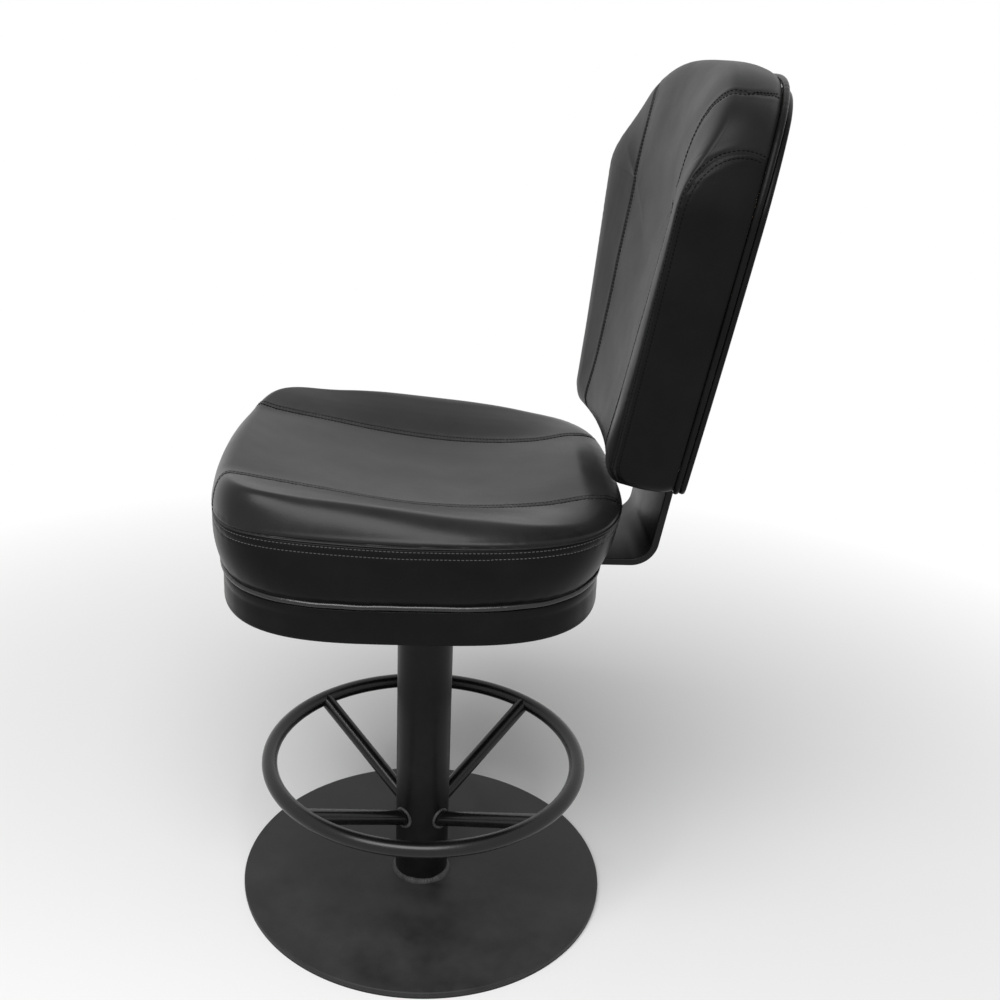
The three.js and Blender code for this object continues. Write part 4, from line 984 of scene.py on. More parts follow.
class Filler:
    """Fills a sewn cover: pressure swells a coarse copy whose seams are held, and the cover follows it."""

    def __init__(self, padding: Padding) -> None:
        """Keeps the settings."""
        self.padding = padding

    def coarse_copy(self, skin: Skin) -> bpy.types.Object:
        """An even mesh of the same cover, with its seams still unmarked."""
        rough = skin.object("padding_copy")
        modifier = rough.modifiers.new("even", "REMESH")
        modifier.mode = "VOXEL"
        modifier.voxel_size = self.padding.voxel_mm * MM
        bpy.context.view_layer.objects.active = rough
        bpy.ops.object.modifier_apply(modifier=modifier.name)
        return rough

    @staticmethod
    def places(mesh: bpy.types.Mesh) -> Array:
        """The mesh's points in millimetres."""
        flat = np.empty(len(mesh.vertices) * 3)
        mesh.vertices.foreach_get("co", flat)
        return flat.reshape(-1, 3) / MM

    def swelling(self, skin: Skin, seams: Array, held: OfPoints) -> tuple[Array, Array]:
        """Runs the simulation.

        Args:
            skin: The cover before it is filled.
            seams: Points along the lines that stay put.
            held: A function of points that is 1 where the cover is fixed to its board.

        Returns:
            Places on the coarse copy and how far each of them moved.
        """
        rough = self.coarse_copy(skin)
        start = self.places(rough.data)
        pins = np.maximum(hump(near_line(start, seams), self.padding.pin_mm), held(start))
        outward = np.empty(start.size)
        rough.data.vertex_normals.foreach_get("vector", outward)
        drawn = start - outward.reshape(-1, 3) * (self.padding.drawn_in_mm * (1.0 - pins))[:, None]
        rough.data.vertices.foreach_set("co", (drawn * MM).ravel())
        group = rough.vertex_groups.new(name="seams")
        for level in np.linspace(0.1, 1.0, 10):
            members = np.flatnonzero(np.abs(pins - level) <= 0.05)
            group.add(members.tolist(), float(level), "REPLACE")
        cloth = rough.modifiers.new("fill", "CLOTH")
        cloth.settings.use_pressure = True
        cloth.settings.uniform_pressure_force = self.padding.pressure
        cloth.settings.effector_weights.gravity = 0.0
        cloth.settings.vertex_group_mass = group.name
        cloth.settings.shrink_min = -self.padding.slack
        cloth.settings.bending_stiffness = self.padding.bending
        scene = bpy.context.scene
        for step in range(1, self.padding.frames + 1):
            scene.frame_set(step)
        bpy.context.view_layer.objects.active = rough
        bpy.ops.object.modifier_apply(modifier=cloth.name)
        scene.frame_set(1)
        move = self.places(rough.data) - start
        length = np.linalg.norm(move, axis=1, keepdims=True)
        move *= np.minimum(1.0, self.padding.cap_mm / np.maximum(length, 1e-6))
        LOG.info("filling moved the cover by %.1f mm on average, %.1f at most", length.mean(), length.max())
        mesh = rough.data
        bpy.data.objects.remove(rough)
        bpy.data.meshes.remove(mesh)
        return start, move

    @staticmethod
    def cell_corners(spots: Array) -> list[tuple[tuple[Array, ...], Array]]:
        """The eight corners of each place's cell, with the corner's share of the place."""
        base = np.floor(spots).astype(int)
        part = spots - base
        corners = np.array(np.meshgrid([0, 1], [0, 1], [0, 1], indexing="ij")).reshape(3, -1).T
        return [(tuple((base + corner).T), np.prod(np.where(corner == 1, part, 1.0 - part), axis=1))
                for corner in corners]

    def carried(self, points: Array, start: Array, move: Array) -> Array:
        """Moves fine points as their coarse neighbours did: means in cells, read between cell middles."""
        cell = self.padding.cell_mm
        low = start.min(axis=0) - 3.0 * cell
        size = np.ceil((start.max(axis=0) - low) / cell).astype(int) + 4
        weight = np.zeros(size)
        total = np.zeros((*size, 3))
        for index, share in self.cell_corners((start - low) / cell):
            np.add.at(weight, index, share)
            np.add.at(total, index, share[:, None] * move)
        for axis in list(range(3)) * self.padding.blurs:
            weight = 0.5 * weight + 0.25 * (np.roll(weight, 1, axis) + np.roll(weight, -1, axis))
            total = 0.5 * total + 0.25 * (np.roll(total, 1, axis) + np.roll(total, -1, axis))
        flat = points.reshape(-1, 3)
        spots = np.clip((flat - low) / cell, 0.0, size - 2.001)
        mass, pull = np.zeros(len(flat)), np.zeros((len(flat), 3))
        for index, share in self.cell_corners(spots):
            mass += share * weight[index]
            pull += share[:, None] * total[index]
        return (flat + pull / np.maximum(mass, 1e-6)[:, None]).reshape(points.shape)


@dataclass(frozen=True)
class Stitching:
    """Rows of machine stitches: short bars of thread whose ends dive into the cover."""

    pitch: float = 4.1
    length: float = 3.1
    radius: float = 0.48
    lift: float = 0.25

    def dropped(self, points: Array, cover: bpy.types.Object, above: float) -> Array:
        """The places a little above the cover that are nearest to some points."""
        mesh = bpy.data.meshes.new("row")
        mesh.from_pydata((points * MM).tolist(), [], [])
        row = bpy.data.objects.new("row", mesh)
        bpy.context.scene.collection.objects.link(row)
        wrap = row.modifiers.new("drop", "SHRINKWRAP")
        wrap.target = cover
        wrap.wrap_method = "NEAREST_SURFACEPOINT"
        wrap.wrap_mode = "ABOVE_SURFACE"
        wrap.offset = above * MM
        done = row.evaluated_get(bpy.context.evaluated_depsgraph_get())
        places = Filler.places(done.data)
        bpy.data.objects.remove(row)
        bpy.data.meshes.remove(mesh)
        return places

    def bars(self, rows: list[Array], cover: bpy.types.Object) -> Skin:
        """All stitches of some rows.

        Args:
            rows: Lines on or near the cover.
            cover: The sewn piece.

        Returns:
            One surface with a small closed bar for each stitch.
        """
        share = np.array([-1.0, -0.7, 0.0, 0.7, 1.0])
        girth = np.array([0.45, 0.9, 1.0, 0.9, 0.45])
        arch = np.array([-1.0, 0.3, 1.0, 0.3, -1.0])
        ways = round_ways(6)
        skin = Skin()
        for row in rows:
            line = evenly(row, 1.0)
            ground = self.dropped(line, cover, 0.02)
            raised = self.dropped(line, cover, 1.0)
            run = arc_lengths(ground)
            middles = np.arange(0.5 * self.pitch, run[-1] - 0.5 * self.pitch, self.pitch)
            spots = middles[:, None] + 0.5 * self.length * share[None, :]
            at = along_line(spots, run, ground)
            up = unit(along_line(spots, run, raised - ground))
            along = unit(np.gradient(at, axis=1))
            side = unit(np.cross(along, up))
            centre = at + up * (self.lift * arch)[None, :, None]
            rings = centre[:, :, None, :] + self.radius * girth[None, :, None, None] * (
                side[:, :, None, :] * ways[None, None, :, :1] + up[:, :, None, :] * ways[None, None, :, 1:])
            numbers = skin.add(rings)
            low, high = numbers[:, :-1, :], numbers[:, 1:, :]
            quads = np.stack([low, np.roll(low, -1, axis=2), np.roll(high, -1, axis=2), high], axis=-1)
            skin.faces.append(quads.reshape(-1, 4))
            skin.faces.append(numbers[:, 0, ::-1])
            skin.faces.append(numbers[:, -1, :])
        return skin


# Seat


@dataclass
class Seat:
    """The cushion in its sewn cover, piping, skirt band and underside cloth. Sizes in millimetres."""

    paints: Paintbox
    filler: Filler
    seam_half_width: float = 236.0
    seam_half_depth: float = 222.0
    seam_middle_y: float = -13.0
    front_squareness: float = 8.0
    rear_squareness: float = 3.5
    front_taper: float = 38.0
    front_bow: float = 24.0
    seam_height: float = 557.0
    crest_height: float = 595.8
    foot_height: float = 491.5
    foot_half_width: float = 225.0
    foot_half_depth: float = 209.0
    skirt_half_width: float = 223.0
    skirt_half_depth: float = 208.0
    skirt_middle_y: float = -17.5
    skirt_squareness: float = 3.3
    skirt_bottom: float = 446.0
    skirt_top: float = 484.5
    skirt_wall: float = 14.0
    board_inset: float = 4.2
    board_top: float = 499.5
    gap: float = 0.3
    side_swell: float = 5.0
    welt_radius: float = 3.2
    welt_inset: float = 0.7
    welt_height: float = 488.0
    cloth_top: float = 446.0
    cloth_room: float = 1.2
    cloth_thickness: float = 0.8
    cloth_slack: float = 0.9
    cloth_inset: float = 9.0
    cloth_hole: float = 38.4
    slot_half_width: float = 79.8
    slot_depth: float = 8.3
    row_shift: float = 4.3
    fine: int = 120
    bowl_places: Table = (0.0, 20.0, 108.0, 132.0, 196.0, 213.0)
    bowl_slopes: Table = (0.0, 0.0, 0.11, 0.3, 0.3, 0.0)
    bowl_middle_y: float = -15.0
    bowl_front: float = 200.0
    bowl_rear: float = 181.0
    fall_start_y: float = -118.0
    fall_slope: float = 0.108
    rear_lift: float = 5.0
    front_lift: float = 6.5
    seam_places_y: Table = (
        -238.0, -228.0, -218.5, -208.0, -190.0, -158.0, -98.0, -9.0, 82.0, 142.0, 195.0, 215.0)
    seam_places_x: Table = (
        156.0, 147.0, 138.5, 130.0, 123.5, 120.8, 119.8, 117.0, 111.2, 109.0, 109.5, 110.0)
    seam_softness: float = 9.0
    rear_crest: float = 0.92
    side_crest: float = 0.882
    front_crest: float = 0.88
    corner_crest: float = 0.93
    corner_narrowness: int = 12
    round_roll: float = 0.5
    blunt_roll: float = 0.8
    side_drops: Table = (
        0.4, 0.9, 1.4, 2.0, 2.6, 3.2, 3.9, 5.0, 6.4, 8.0, 9.4, 10.4, 11.2, 12.0, 13.2, 15.0, 18.0, 22.0,
        27.0, 33.0, 39.0, 45.0, 51.0, 56.0, 60.0, 63.0, 64.7, 65.5)
    row_drops: Pair = (3.6, 11.0)
    mean_radius: float = 200.0
    pucker_height: float = 0.1
    top_seam_folds: Rows = ((0.45, 0.0, 3.0), (-0.5, 0.0, 0.7))
    row_folds: Rows = ((-0.55, 0.0, 1.1),)
    edge_folds: Rows = ((0.5, 0.0, 0.7), (-1.1, 1.9, 0.8), (0.45, 4.6, 2.4))
    side_folds: Rows = ((0.5, 0.0, 0.7), (-0.9, 1.7, 0.7), (-0.4, 3.6, 0.9), (-0.55, 11.0, 1.2),
                        (0.4, 7.0, 2.6), (-1.6, 65.5, 4.0))
    top_lumps: Rows = ((0.22, 110.0, 33), (0.03, 30.0, 34))
    skirt_lumps: Rows = ((0.3, 70.0, 61), (0.05, 24.0, 62))
    skirt_heights: Table = (
        484.5, 484.4, 484.0, 483.2, 482.0, 480.4, 478.6, 476.8, 475.0, 473.4, 472.0, 470.5,
        467.0, 463.0, 459.0, 455.0, 452.5, 450.6, 449.2, 448.0, 447.0, 446.4, 446.1, 446.0)
    skirt_insets: Table = (
        3.4, 2.2, 1.2, 0.5, 0.1, 0.0, 0.0, 0.15, 0.5, 0.8, 0.95, 0.9,
        0.6, 0.4, 0.35, 0.4, 0.45, 0.35, 0.3, 0.45, 0.9, 1.6, 2.4, 3.4)

    def skirt_plan(self, ways: Array, inset: float) -> Array:
        """The skirt's outline drawn in by an inset."""
        return superellipse(ways, self.skirt_half_width - inset, self.skirt_half_depth - inset,
                            self.skirt_middle_y, self.skirt_squareness)

    def top_seam(self, y: Array) -> Array:
        """Half the distance between the two seams of the top at a place along the seat."""
        return soft_read(y, self.seam_places_y, self.seam_places_x, self.seam_softness)

    def past_seam(self, points: Array) -> Array:
        """How far points of the top lie outside its seams."""
        return np.abs(points[..., 0]) - self.top_seam(points[..., 1])

    def top_height(self, x: Array, y: Array) -> Array:
        """Height of the top: level in front, falling to the rear, with a bowl between two side rolls.

        The bowl's slope grows slowly from the middle to the seam, holds up the side roll and levels off
        at its crest, and the bowl grows shallow towards front and rear as a parabola.
        """
        out = np.linspace(0.0, 260.0, 261)
        slope = np.interp(out, self.bowl_places, self.bowl_slopes)
        rise = np.cumsum(slope) - 0.5 * slope
        depth = np.interp(np.abs(x), out, rise[-1] - rise)
        span = np.where(y < self.bowl_middle_y, self.bowl_front, self.bowl_rear)
        share = above_zero(1.0 - ((y - self.bowl_middle_y) / span) ** 2, 0.12)
        fall = self.fall_slope * above_zero(y - self.fall_start_y, 30.0)
        lift = self.rear_lift * smooth(120.0, 190.0, y) * (1.0 - smooth(120.0, 215.0, np.abs(x)))
        lift += self.front_lift * smooth(-110.0, -205.0, y) * smooth(100.0, 185.0, np.abs(x))
        return self.crest_height - fall - share * depth + lift

    def seam_outline(self, ways: Array) -> Array:
        """The edge seam in plan along some directions: squarer and narrower in front, and bowed there."""
        squareness = np.where(ways[..., 1] < 0.0, self.front_squareness, self.rear_squareness)
        total = np.abs(ways[..., 0]) ** squareness + np.abs(ways[..., 1]) ** squareness
        reach = np.maximum(total, 1e-9) ** (-1.0 / squareness)
        across, along = ways[..., 0] * reach, ways[..., 1] * reach
        front = np.maximum(0.0, -along)
        x = (self.seam_half_width - self.front_taper * front ** 1.5) * across
        y = self.seam_middle_y + self.seam_half_depth * along + self.front_bow * front ** 4 * across ** 2
        return np.stack([x, y], axis=-1)

    def top_points(self, square: Array) -> Array:
        """Points of the top for places on a square of -1..1, whose border is the edge seam.

        A place's larger coordinate is its share of the way from the middle to the seam. Up to the crest's
        share the top's height holds. Past it the edge rolls over as (1 - r^2)^b: b is 1/2, a quarter of an
        ellipse, in front and at the rear, and more along the sides, which meet the seam at a slant.
        """
        share = np.maximum(np.abs(square).max(axis=-1), 1e-6)
        seam = self.seam_outline(square / share[..., None])
        depth = seam[..., 1] - self.seam_middle_y
        span = np.maximum(np.hypot(seam[..., 0], depth), 1e-9)
        forwards = np.maximum(0.0, -depth / span)
        corner = np.minimum(1.0, 2.0 * forwards * np.abs(seam[..., 0]) / span) ** self.corner_narrowness
        sideways = smooth(0.5, 0.72, (np.abs(seam[..., 0]) / span) ** 2)
        crest = between(self.rear_crest, self.side_crest, sideways)
        crest = between(between(crest, self.front_crest, forwards ** 3), self.corner_crest, corner)
        bluntness = between(self.round_roll, self.blunt_roll, sideways)
        roll = np.clip((share - crest) / (1.0 - crest), 0.0, 1.0)
        x = seam[..., 0] * share
        y = self.seam_middle_y + depth * share
        top = self.top_height(x, y)
        z = self.seam_height + (top - self.seam_height) * np.maximum(0.0, 1.0 - roll ** 2) ** bluntness
        return np.stack([x, y, z], axis=-1)

    def square_places(self) -> Array:
        """The square's grid, with the column at 0.5 drawn onto the top seams."""
        steps = crowded_steps(self.fine * 6 // 10, self.fine * 4 // 10, 0.82, 4.0, 0.035)
        return drawn_to_seam(steps, self.top_points, self.past_seam, (0.3, 0.8))

    def side_points(self, seam: Array, ways: Array, share: Array) -> Array:
        """The side from its foot, share 0, to the edge seam, share 1: it leans out and swells between."""
        foot = superellipse(ways, self.foot_half_width, self.foot_half_depth, self.skirt_middle_y,
                            self.skirt_squareness)
        out = unit(seam[:, :2] - np.array([0.0, self.seam_middle_y]))
        share = share[:, None]
        swell = self.side_swell * np.sin(share * np.pi) * np.sqrt(1.0 - share / 2.0)
        plan = between(foot[None], seam[None, :, :2], share[..., None]) + out[None] * swell[..., None]
        height = np.broadcast_to(between(self.foot_height, self.seam_height, share), plan.shape[:2])
        return np.concatenate([plan, height[..., None]], axis=-1)

    def cushion_parts(self, places: Array) -> tuple[Array, Array, Array]:
        """Grid of the top, rings of the side and rings of the hidden bottom."""
        top = self.top_points(places)
        numbers = border_of(places.shape[:2])
        ways = places.reshape(-1, 2)[numbers]
        seam = top.reshape(-1, 3)[numbers]
        drop = np.array(self.side_drops)
        side = self.side_points(seam, ways, 1.0 - drop / (self.seam_height - self.foot_height))
        recess = self.skirt_plan(ways, self.board_inset - self.gap)
        levels = (self.foot_height, self.board_top + self.gap)
        hidden = np.stack([at_height(recess, level) for level in levels])
        return top, side, hidden

    def assembled(self, top: Array, side: Array, hidden: Array) -> Skin:
        """Joins the three parts of the cover."""
        skin = Skin()
        border = edge_of(skin.patch(top))
        rings = skin.rings(np.concatenate([side, hidden]))
        skin.bridge(border, rings[0])
        skin.close(rings[-1], np.array([0.0, self.skirt_middle_y, self.board_top + self.gap]))
        return skin

    def seam_lines(self) -> list[Array]:
        """The two seams of the top, each as a line of points."""
        front = -np.sin(np.linspace(0.5 * np.pi, 0.0, 120))
        rear = np.sin(np.linspace(0.0, 0.5 * np.pi, 120))[1:]
        line, _ = along_seam(np.concatenate([front, rear]), self.top_points, self.past_seam)
        return [evenly(side, 2.0) for side in mirrored(line)]

    def sewn_top(self, top: Array, places: Array) -> Array:
        """Draws the top in along its seams, with puckers beside them, and lets it lie a little unevenly."""
        normals = grid_normals(top)
        normals *= np.sign(normals[..., 2:3] + 1e-6)
        off = self.past_seam(top)
        beside = np.abs(off) - self.row_shift
        height = top[..., 2] - self.seam_height
        puckers = wander(top[..., 1:2], 9.0, 31) * np.sign(off) + wander(top[..., 1:2], 14.0, 32)
        rise = folds(off, self.top_seam_folds) + folds(beside, self.row_folds)
        rise += self.pucker_height * puckers * hump(beside - 1.0, 3.5) + uneven(top, self.top_lumps)
        around = np.arctan2(top[..., 1], top[..., 0])[..., None] * self.mean_radius
        edge = folds(height, self.edge_folds) + 0.1 * wander(around, 11.0, 35) * hump(height - 6.0, 6.0)
        edge *= smooth(0.94, 0.965, np.abs(places).max(axis=-1))
        return top + normals * (rise + edge)[..., None]

    def sewn_side(self, side: Array) -> Array:
        """Draws the side in at the edge seam and at its stitch rows, with soft upright puckers between."""
        out = side - np.array([0.0, self.seam_middle_y, 0.0])
        out[..., 2] = 0.0
        out = unit(out)
        drop = self.seam_height - side[..., 2]
        around = np.arctan2(side[..., 1], side[..., 0])[..., None] * self.mean_radius
        rise = folds(drop, self.side_folds) + 0.12 * wander(around, 10.0, 41) * hump(drop - 9.0, 7.0)
        rise += 0.4 * wander(side * np.array([1.0, 1.0, 0.6]), 90.0, 42) * smooth(3.0, 25.0, drop)
        rise += 0.15 * wander(around, 17.0, 43) * hump(drop - 62.0, 10.0)
        return side + out * rise[..., None]

    def build_cushion(self) -> None:
        """Cushion: filled by simulation, then sewn, then stitched."""
        places = self.square_places()
        top, side, hidden = self.cushion_parts(places)
        lines = self.seam_lines()
        border = np.concatenate([top[0], top[:, -1], top[-1], top[:, 0]])
        seams = np.concatenate([*lines, border[::3]])
        start, move = self.filler.swelling(
            self.assembled(top, side, hidden), seams,
            lambda points: smooth(self.foot_height + 14.0, self.foot_height + 4.0, points[:, 2]))
        top = self.filler.carried(top, start, move)
        side = np.concatenate([self.filler.carried(side[:-1], start, move), side[-1:]])
        skin = self.assembled(self.sewn_top(top, places), self.sewn_side(side), hidden)
        # Every face but the top's takes the darker vinyl copy: painted shade on the cushion's sides.
        fitting = Fitting(Body.SEAT, Slot.VINYL, self.paints.vinyl, ("seat_cushion",), self.paints.shaded_side_vinyl)
        cover = mount(skin, "seat_cover", fitting, lambda spots, group: np.full(len(spots), group > 0))
        stitching = Stitching()
        rows = [line + np.array([np.sign(line[0, 0]) * shift, 0.0, 0.0]) for line in lines
                for shift in (-self.row_shift, self.row_shift)]
        thread = Fitting(Body.SEAT, Slot.PIPING, self.paints.thread)
        mount(stitching.bars(rows, cover), "seat_top_stitches", thread)
        ways = np.roll(round_ways(720), -180, axis=0)
        seam = at_height(self.seam_outline(ways), self.seam_height)
        shares = 1.0 - np.array(self.row_drops) / (self.seam_height - self.foot_height)
        loops = self.side_points(seam, ways, shares)
        rows = [np.concatenate([loop, loop[:1]]) for loop in loops]
        # The side rows take the grey thread: painted sheen on black thread.
        pale = Fitting(Body.SEAT, Slot.PIPING, self.paints.sheen_painted_thread)
        mount(stitching.bars(rows, cover), "seat_side_stitches", pale)

    def build_piping(self) -> None:
        """Piping round the foot of the cushion: a covered cord with fine gathers."""
        ways = round_ways(900)
        path = at_height(self.skirt_plan(ways, self.welt_inset), self.welt_height)
        around = arc_lengths(path)[:, None]
        radius = gathered(self.welt_radius, around, 51)
        path[:, 2] += 0.25 * wander(around, 60.0, 52)
        piping = cord(path, radius, True, np.array([0.0, 0.0, 1.0]), 16)
        mount(piping, "seat_piping", Fitting(Body.SEAT, Slot.PIPING, self.paints.piping, ("seat_welt",)))

    def build_skirt(self) -> None:
        """Skirt band: a soft ridge under the piping, a gently uneven face and a rolled hem."""
        ways = round_ways(880)
        height = np.array(self.skirt_heights)
        face = np.stack([self.skirt_plan(ways, inset) for inset in self.skirt_insets])
        around = (np.arange(len(ways)) / len(ways) * 1370.0)[:, None]
        fade = smooth(484.0, 470.0, height) * smooth(446.0, 452.0, height)
        out = unit(face - np.array([0.0, self.skirt_middle_y]))
        shift = fade[:, None] * uneven(around, self.skirt_lumps)[None, :]
        shift -= 0.08 * (1.0 - fade)[:, None] * np.abs(wander(around, 12.0, 63))[None, :]
        face = face + out * shift[..., None]
        wall = self.skirt_wall
        inner = [self.skirt_plan(ways, inset) for inset in (wall - 2.0, wall, wall, wall - 0.5)]
        levels = [self.skirt_bottom, self.skirt_bottom + 1.5, self.skirt_top - 0.5, self.skirt_top]
        plan = np.concatenate([face, np.stack(inner)])
        rise = np.concatenate([height, levels])
        slot = (np.abs(plan[..., 0]) < self.slot_half_width) & (plan[..., 1] > 0.0)
        cap = np.where(slot, self.skirt_top - self.slot_depth, self.skirt_top)
        z = np.minimum(np.broadcast_to(rise[:, None], cap.shape), cap)
        skin = hoop(np.concatenate([plan, z[..., None]], axis=-1))
        # The skirt takes the darker vinyl copy: painted shade.
        fitting = Fitting(Body.SEAT, Slot.VINYL, self.paints.shaded_side_vinyl, ("seat_skirt",))
        mount(skin, "seat_skirt_band", fitting)

    def build_underside(self) -> None:
        """Cloth under the seat: one sheet with a round hole, a little slack between its tacks."""
        ways = round_ways(360)
        shares = np.concatenate([[0.0], np.linspace(0.0, 1.0, 26), [1.0]])
        outer = self.skirt_plan(ways, self.cloth_inset)
        plan = between(outer[None], (ways * self.cloth_hole)[None], shares[:, None, None])
        slack = self.cloth_slack * np.sin(np.pi * shares)[:, None] * (1.0 + 0.5 * wander(plan, 70.0, 71))
        low = self.cloth_top - self.cloth_room + np.maximum(slack, 0.0)
        high = low + self.cloth_thickness
        lower = np.concatenate([plan, low[..., None]], axis=-1)[1:-1]
        upper = np.concatenate([plan, high[..., None]], axis=-1)[1:-1]
        fitting = Fitting(Body.SEAT, Slot.CLOTH, self.paints.cloth, ("dust_cover",))
        sheet = mount(hoop(np.concatenate([lower, upper[::-1]])), "underside_cloth", fitting)

    def build(self) -> None:
        """Builds every piece of the seat that isn't the back's."""
        self.build_cushion()
        self.build_piping()
        self.build_skirt()
        self.build_underside()


# Back


@dataclass
class Back:
    """The bent back: bracket, cushion, piping, outer panel and pull handle. Sizes in millimetres.

    Points are first worked out in the back's own frame, with X across, Y rearwards from the shell's middle
    and Z up the back, and then leaned back into place.
    """

    paints: Paintbox
    filler: Filler
    lean: float = float(np.radians(9.3))
    foot_y: float = 258.6
    foot_height: float = 584.0
    bend_radius: float = 900.0
    setback: float = 0.4
    foot_half_width: float = 156.0
    shoulder_half_width: float = 235.0
    shoulder_height: float = 326.0
    crown: float = 79.0
    crown_squareness: float = 3.9
    foot_corner: float = 18.0
    shoulder_corner: float = 40.0
    middle: float = 210.0
    thickness: float = 76.0
    thinning: float = 6.0
    dish: float = 5.0
    side_wall: float = 64.0
    foot_wall: float = 52.0
    top_wall: float = 40.0
    top_swell: float = 5.0
    side_swell: float = 2.0
    tuck: float = 3.0
    gap: float = 0.3
    board_inset: float = 12.0
    board_thickness: float = 12.0
    welt_radius: float = 3.2
    panel_front: float = 7.0
    panel_rear: float = 12.5
    panel_edge: float = 2.0
    panel_drop: float = 12.0
    bracket_half_width: float = 79.5
    bracket_thickness: float = 8.0
    bracket_bend: float = 26.0
    bracket_front: float = 108.0
    bracket_level: float = 480.5
    bracket_rise: float = 160.0
    bracket_room: float = 3.0
    bracket_step: float = 12.0
    bracket_edge: float = 1.4
    handle_foot: Pair = (94.0, 62.0)
    handle_grip: float = 52.0
    handle_standoff: float = 15.0
    handle_bend: float = 8.0
    handle_low: float = 328.0
    handle_high: float = 360.0
    handle_thickness: float = 4.0
    handle_edge: float = 1.2
    fine: int = 105
    easing: int = 18
    seam_places_z: Table = (
        -10.0, 33.0, 73.0, 98.0, 137.0, 167.0, 188.0, 250.0, 322.0, 343.0, 359.0, 369.0, 376.0, 381.0, 384.0)
    seam_places_x: Table = (
        96.0, 95.0, 94.5, 96.5, 101.0, 107.0, 111.0, 118.5, 127.0, 133.0, 145.0, 157.0, 168.0, 178.0, 186.0)
    seam_softness: float = 8.0
    square_rise: float = 130.0
    side_crest: float = 0.84
    top_crest: float = 0.55
    foot_crest: float = 0.865
    row_shift: float = 3.2
    panel_reach: Pair = (9.0, 40.0)
    over_start: int = 14
    seam_folds: Rows = ((-1.2, 0.0, 1.3), (-0.4, 0.0, 9.0), (-0.3, 3.2, 0.9), (0.25, 6.5, 3.0))
    lumps: Rows = ((0.25, 105.0, 87), (0.03, 30.0, 88))
    side_depths: Table = (
        0.012, 0.03, 0.05, 0.075, 0.1, 0.125, 0.15, 0.18, 0.22, 0.27, 0.33, 0.4, 0.47, 0.54, 0.61, 0.68,
        0.74, 0.8, 0.85, 0.9, 0.94, 0.97, 0.99, 1.0)
    over_shares: Table = (0.0, 0.2, 0.5, 0.8, 1.0)
    over_places: Table = (163.0, 169.0, 174.5, 177.0, 178.0)
    turn_places_y: Table = (-92.0, -91.0, -88.0, -84.0, -78.0, -69.0, -56.0, -41.0, -24.0, -8.0)
    turn_places_z: Table = (262.0, 283.0, 298.0, 307.0, 316.0, 324.0, 330.5, 333.5, 332.5, 330.0)

    def placed(self, points: Array) -> Array:
        """Leans points of the back's own frame back into the stool's frame."""
        c, s = np.cos(self.lean), np.sin(self.lean)
        y = self.foot_y + points[..., 1] * c + points[..., 2] * s
        z = self.foot_height - points[..., 1] * s + points[..., 2] * c
        return np.stack([points[..., 0], y, z], axis=-1)

    def upright(self, ways: Array) -> Array:
        """Directions of the stool's frame in the back's own frame."""
        c, s = np.cos(self.lean), np.sin(self.lean)
        x, y, z = ways[..., 0], ways[..., 1], ways[..., 2]
        return np.stack([x, y * c - z * s, y * s + z * c], axis=-1)

    def unplaced(self, points: Array) -> Array:
        """Points of the stool's frame in the back's own frame, the reverse of placed."""
        return self.upright(points - np.array([0.0, self.foot_y, self.foot_height]))

    def outwards(self, points: Array) -> Array:
        """Directions away from the back's middle, level with its front."""
        return unit(points * np.array([1.0, 0.0, 1.0]) - np.array([0.0, 0.0, self.middle]))

    def shell(self, x: Array) -> Array:
        """Depth of the bent shell: a circle of the bend radius."""
        return self.setback - (self.bend_radius - np.sqrt(self.bend_radius ** 2 - x ** 2))

    def top_share(self, z: Array) -> Array:
        """How far a height belongs to the arched top."""
        return smooth(self.shoulder_height - self.shoulder_corner, self.shoulder_height + 0.5 * self.crown, z)

    def mix(self, side: float, top: float, foot: float, z: Array) -> Array:
        """A size that differs between the sides, the arched top and the foot."""
        footness = 1.0 - smooth(0.0, self.foot_corner, z)
        return side + (top - side) * self.top_share(z) + (foot - side) * footness

    def outline(self) -> Array:
        """The back seen from the front, closely spaced: widening sides, rounded corners and an arched top."""
        w, s, h = self.foot_half_width, self.shoulder_half_width, self.shoulder_height
        corners = np.array([[-w, 0.0], [w, 0.0], [s, h], [-s, h]])
        radii = np.array([self.foot_corner, self.foot_corner, self.shoulder_corner, self.shoulder_corner])
        rounded = rounded_profile(corners, radii, 24)
        line = evenly(np.concatenate([rounded, rounded[:1]]), 1.0)
        arch = 1.0 - np.abs(line[:, 0] / s) ** self.crown_squareness
        line[:, 1] += self.crown * arch * smooth(h - self.shoulder_corner, h, line[:, 1])
        return evenly(line, 1.0)

    def reach(self, ways: Array) -> Array:
        """Where rays from the back's middle meet the outline."""
        rim = self.outline() - np.array([0.0, self.middle])
        angles = np.arctan2(rim[:, 1], rim[:, 0])
        order = np.argsort(angles)
        asked = np.arctan2(ways[..., 1], ways[..., 0])
        radius = np.interp(asked, angles[order], np.hypot(rim[:, 0], rim[:, 1])[order], period=FULL_TURN)
        return unit(ways) * radius[..., None] + np.array([0.0, self.middle])

    def square_ways(self, square: Array) -> Array:
        """Directions from the middle for places on a square's border, whose corners meet the back's own."""
        across = between(self.foot_half_width, self.shoulder_half_width, 0.5 * (square[..., 1] + 1.0))
        up = np.where(square[..., 1] > 0.0, self.square_rise, self.middle)
        return np.stack([square[..., 0] * across, square[..., 1] * up], axis=-1)

    def edge(self, outline: Array) -> tuple[Array, Array, Array]:
        """The cushion's edge: the outline lifted at the arched top, its outward directions and the lift."""
        out = unit(outline - np.array([0.0, self.middle]))
        lift = self.top_swell * self.top_share(outline[..., 1])
        return outline + out * lift[..., None], out, lift

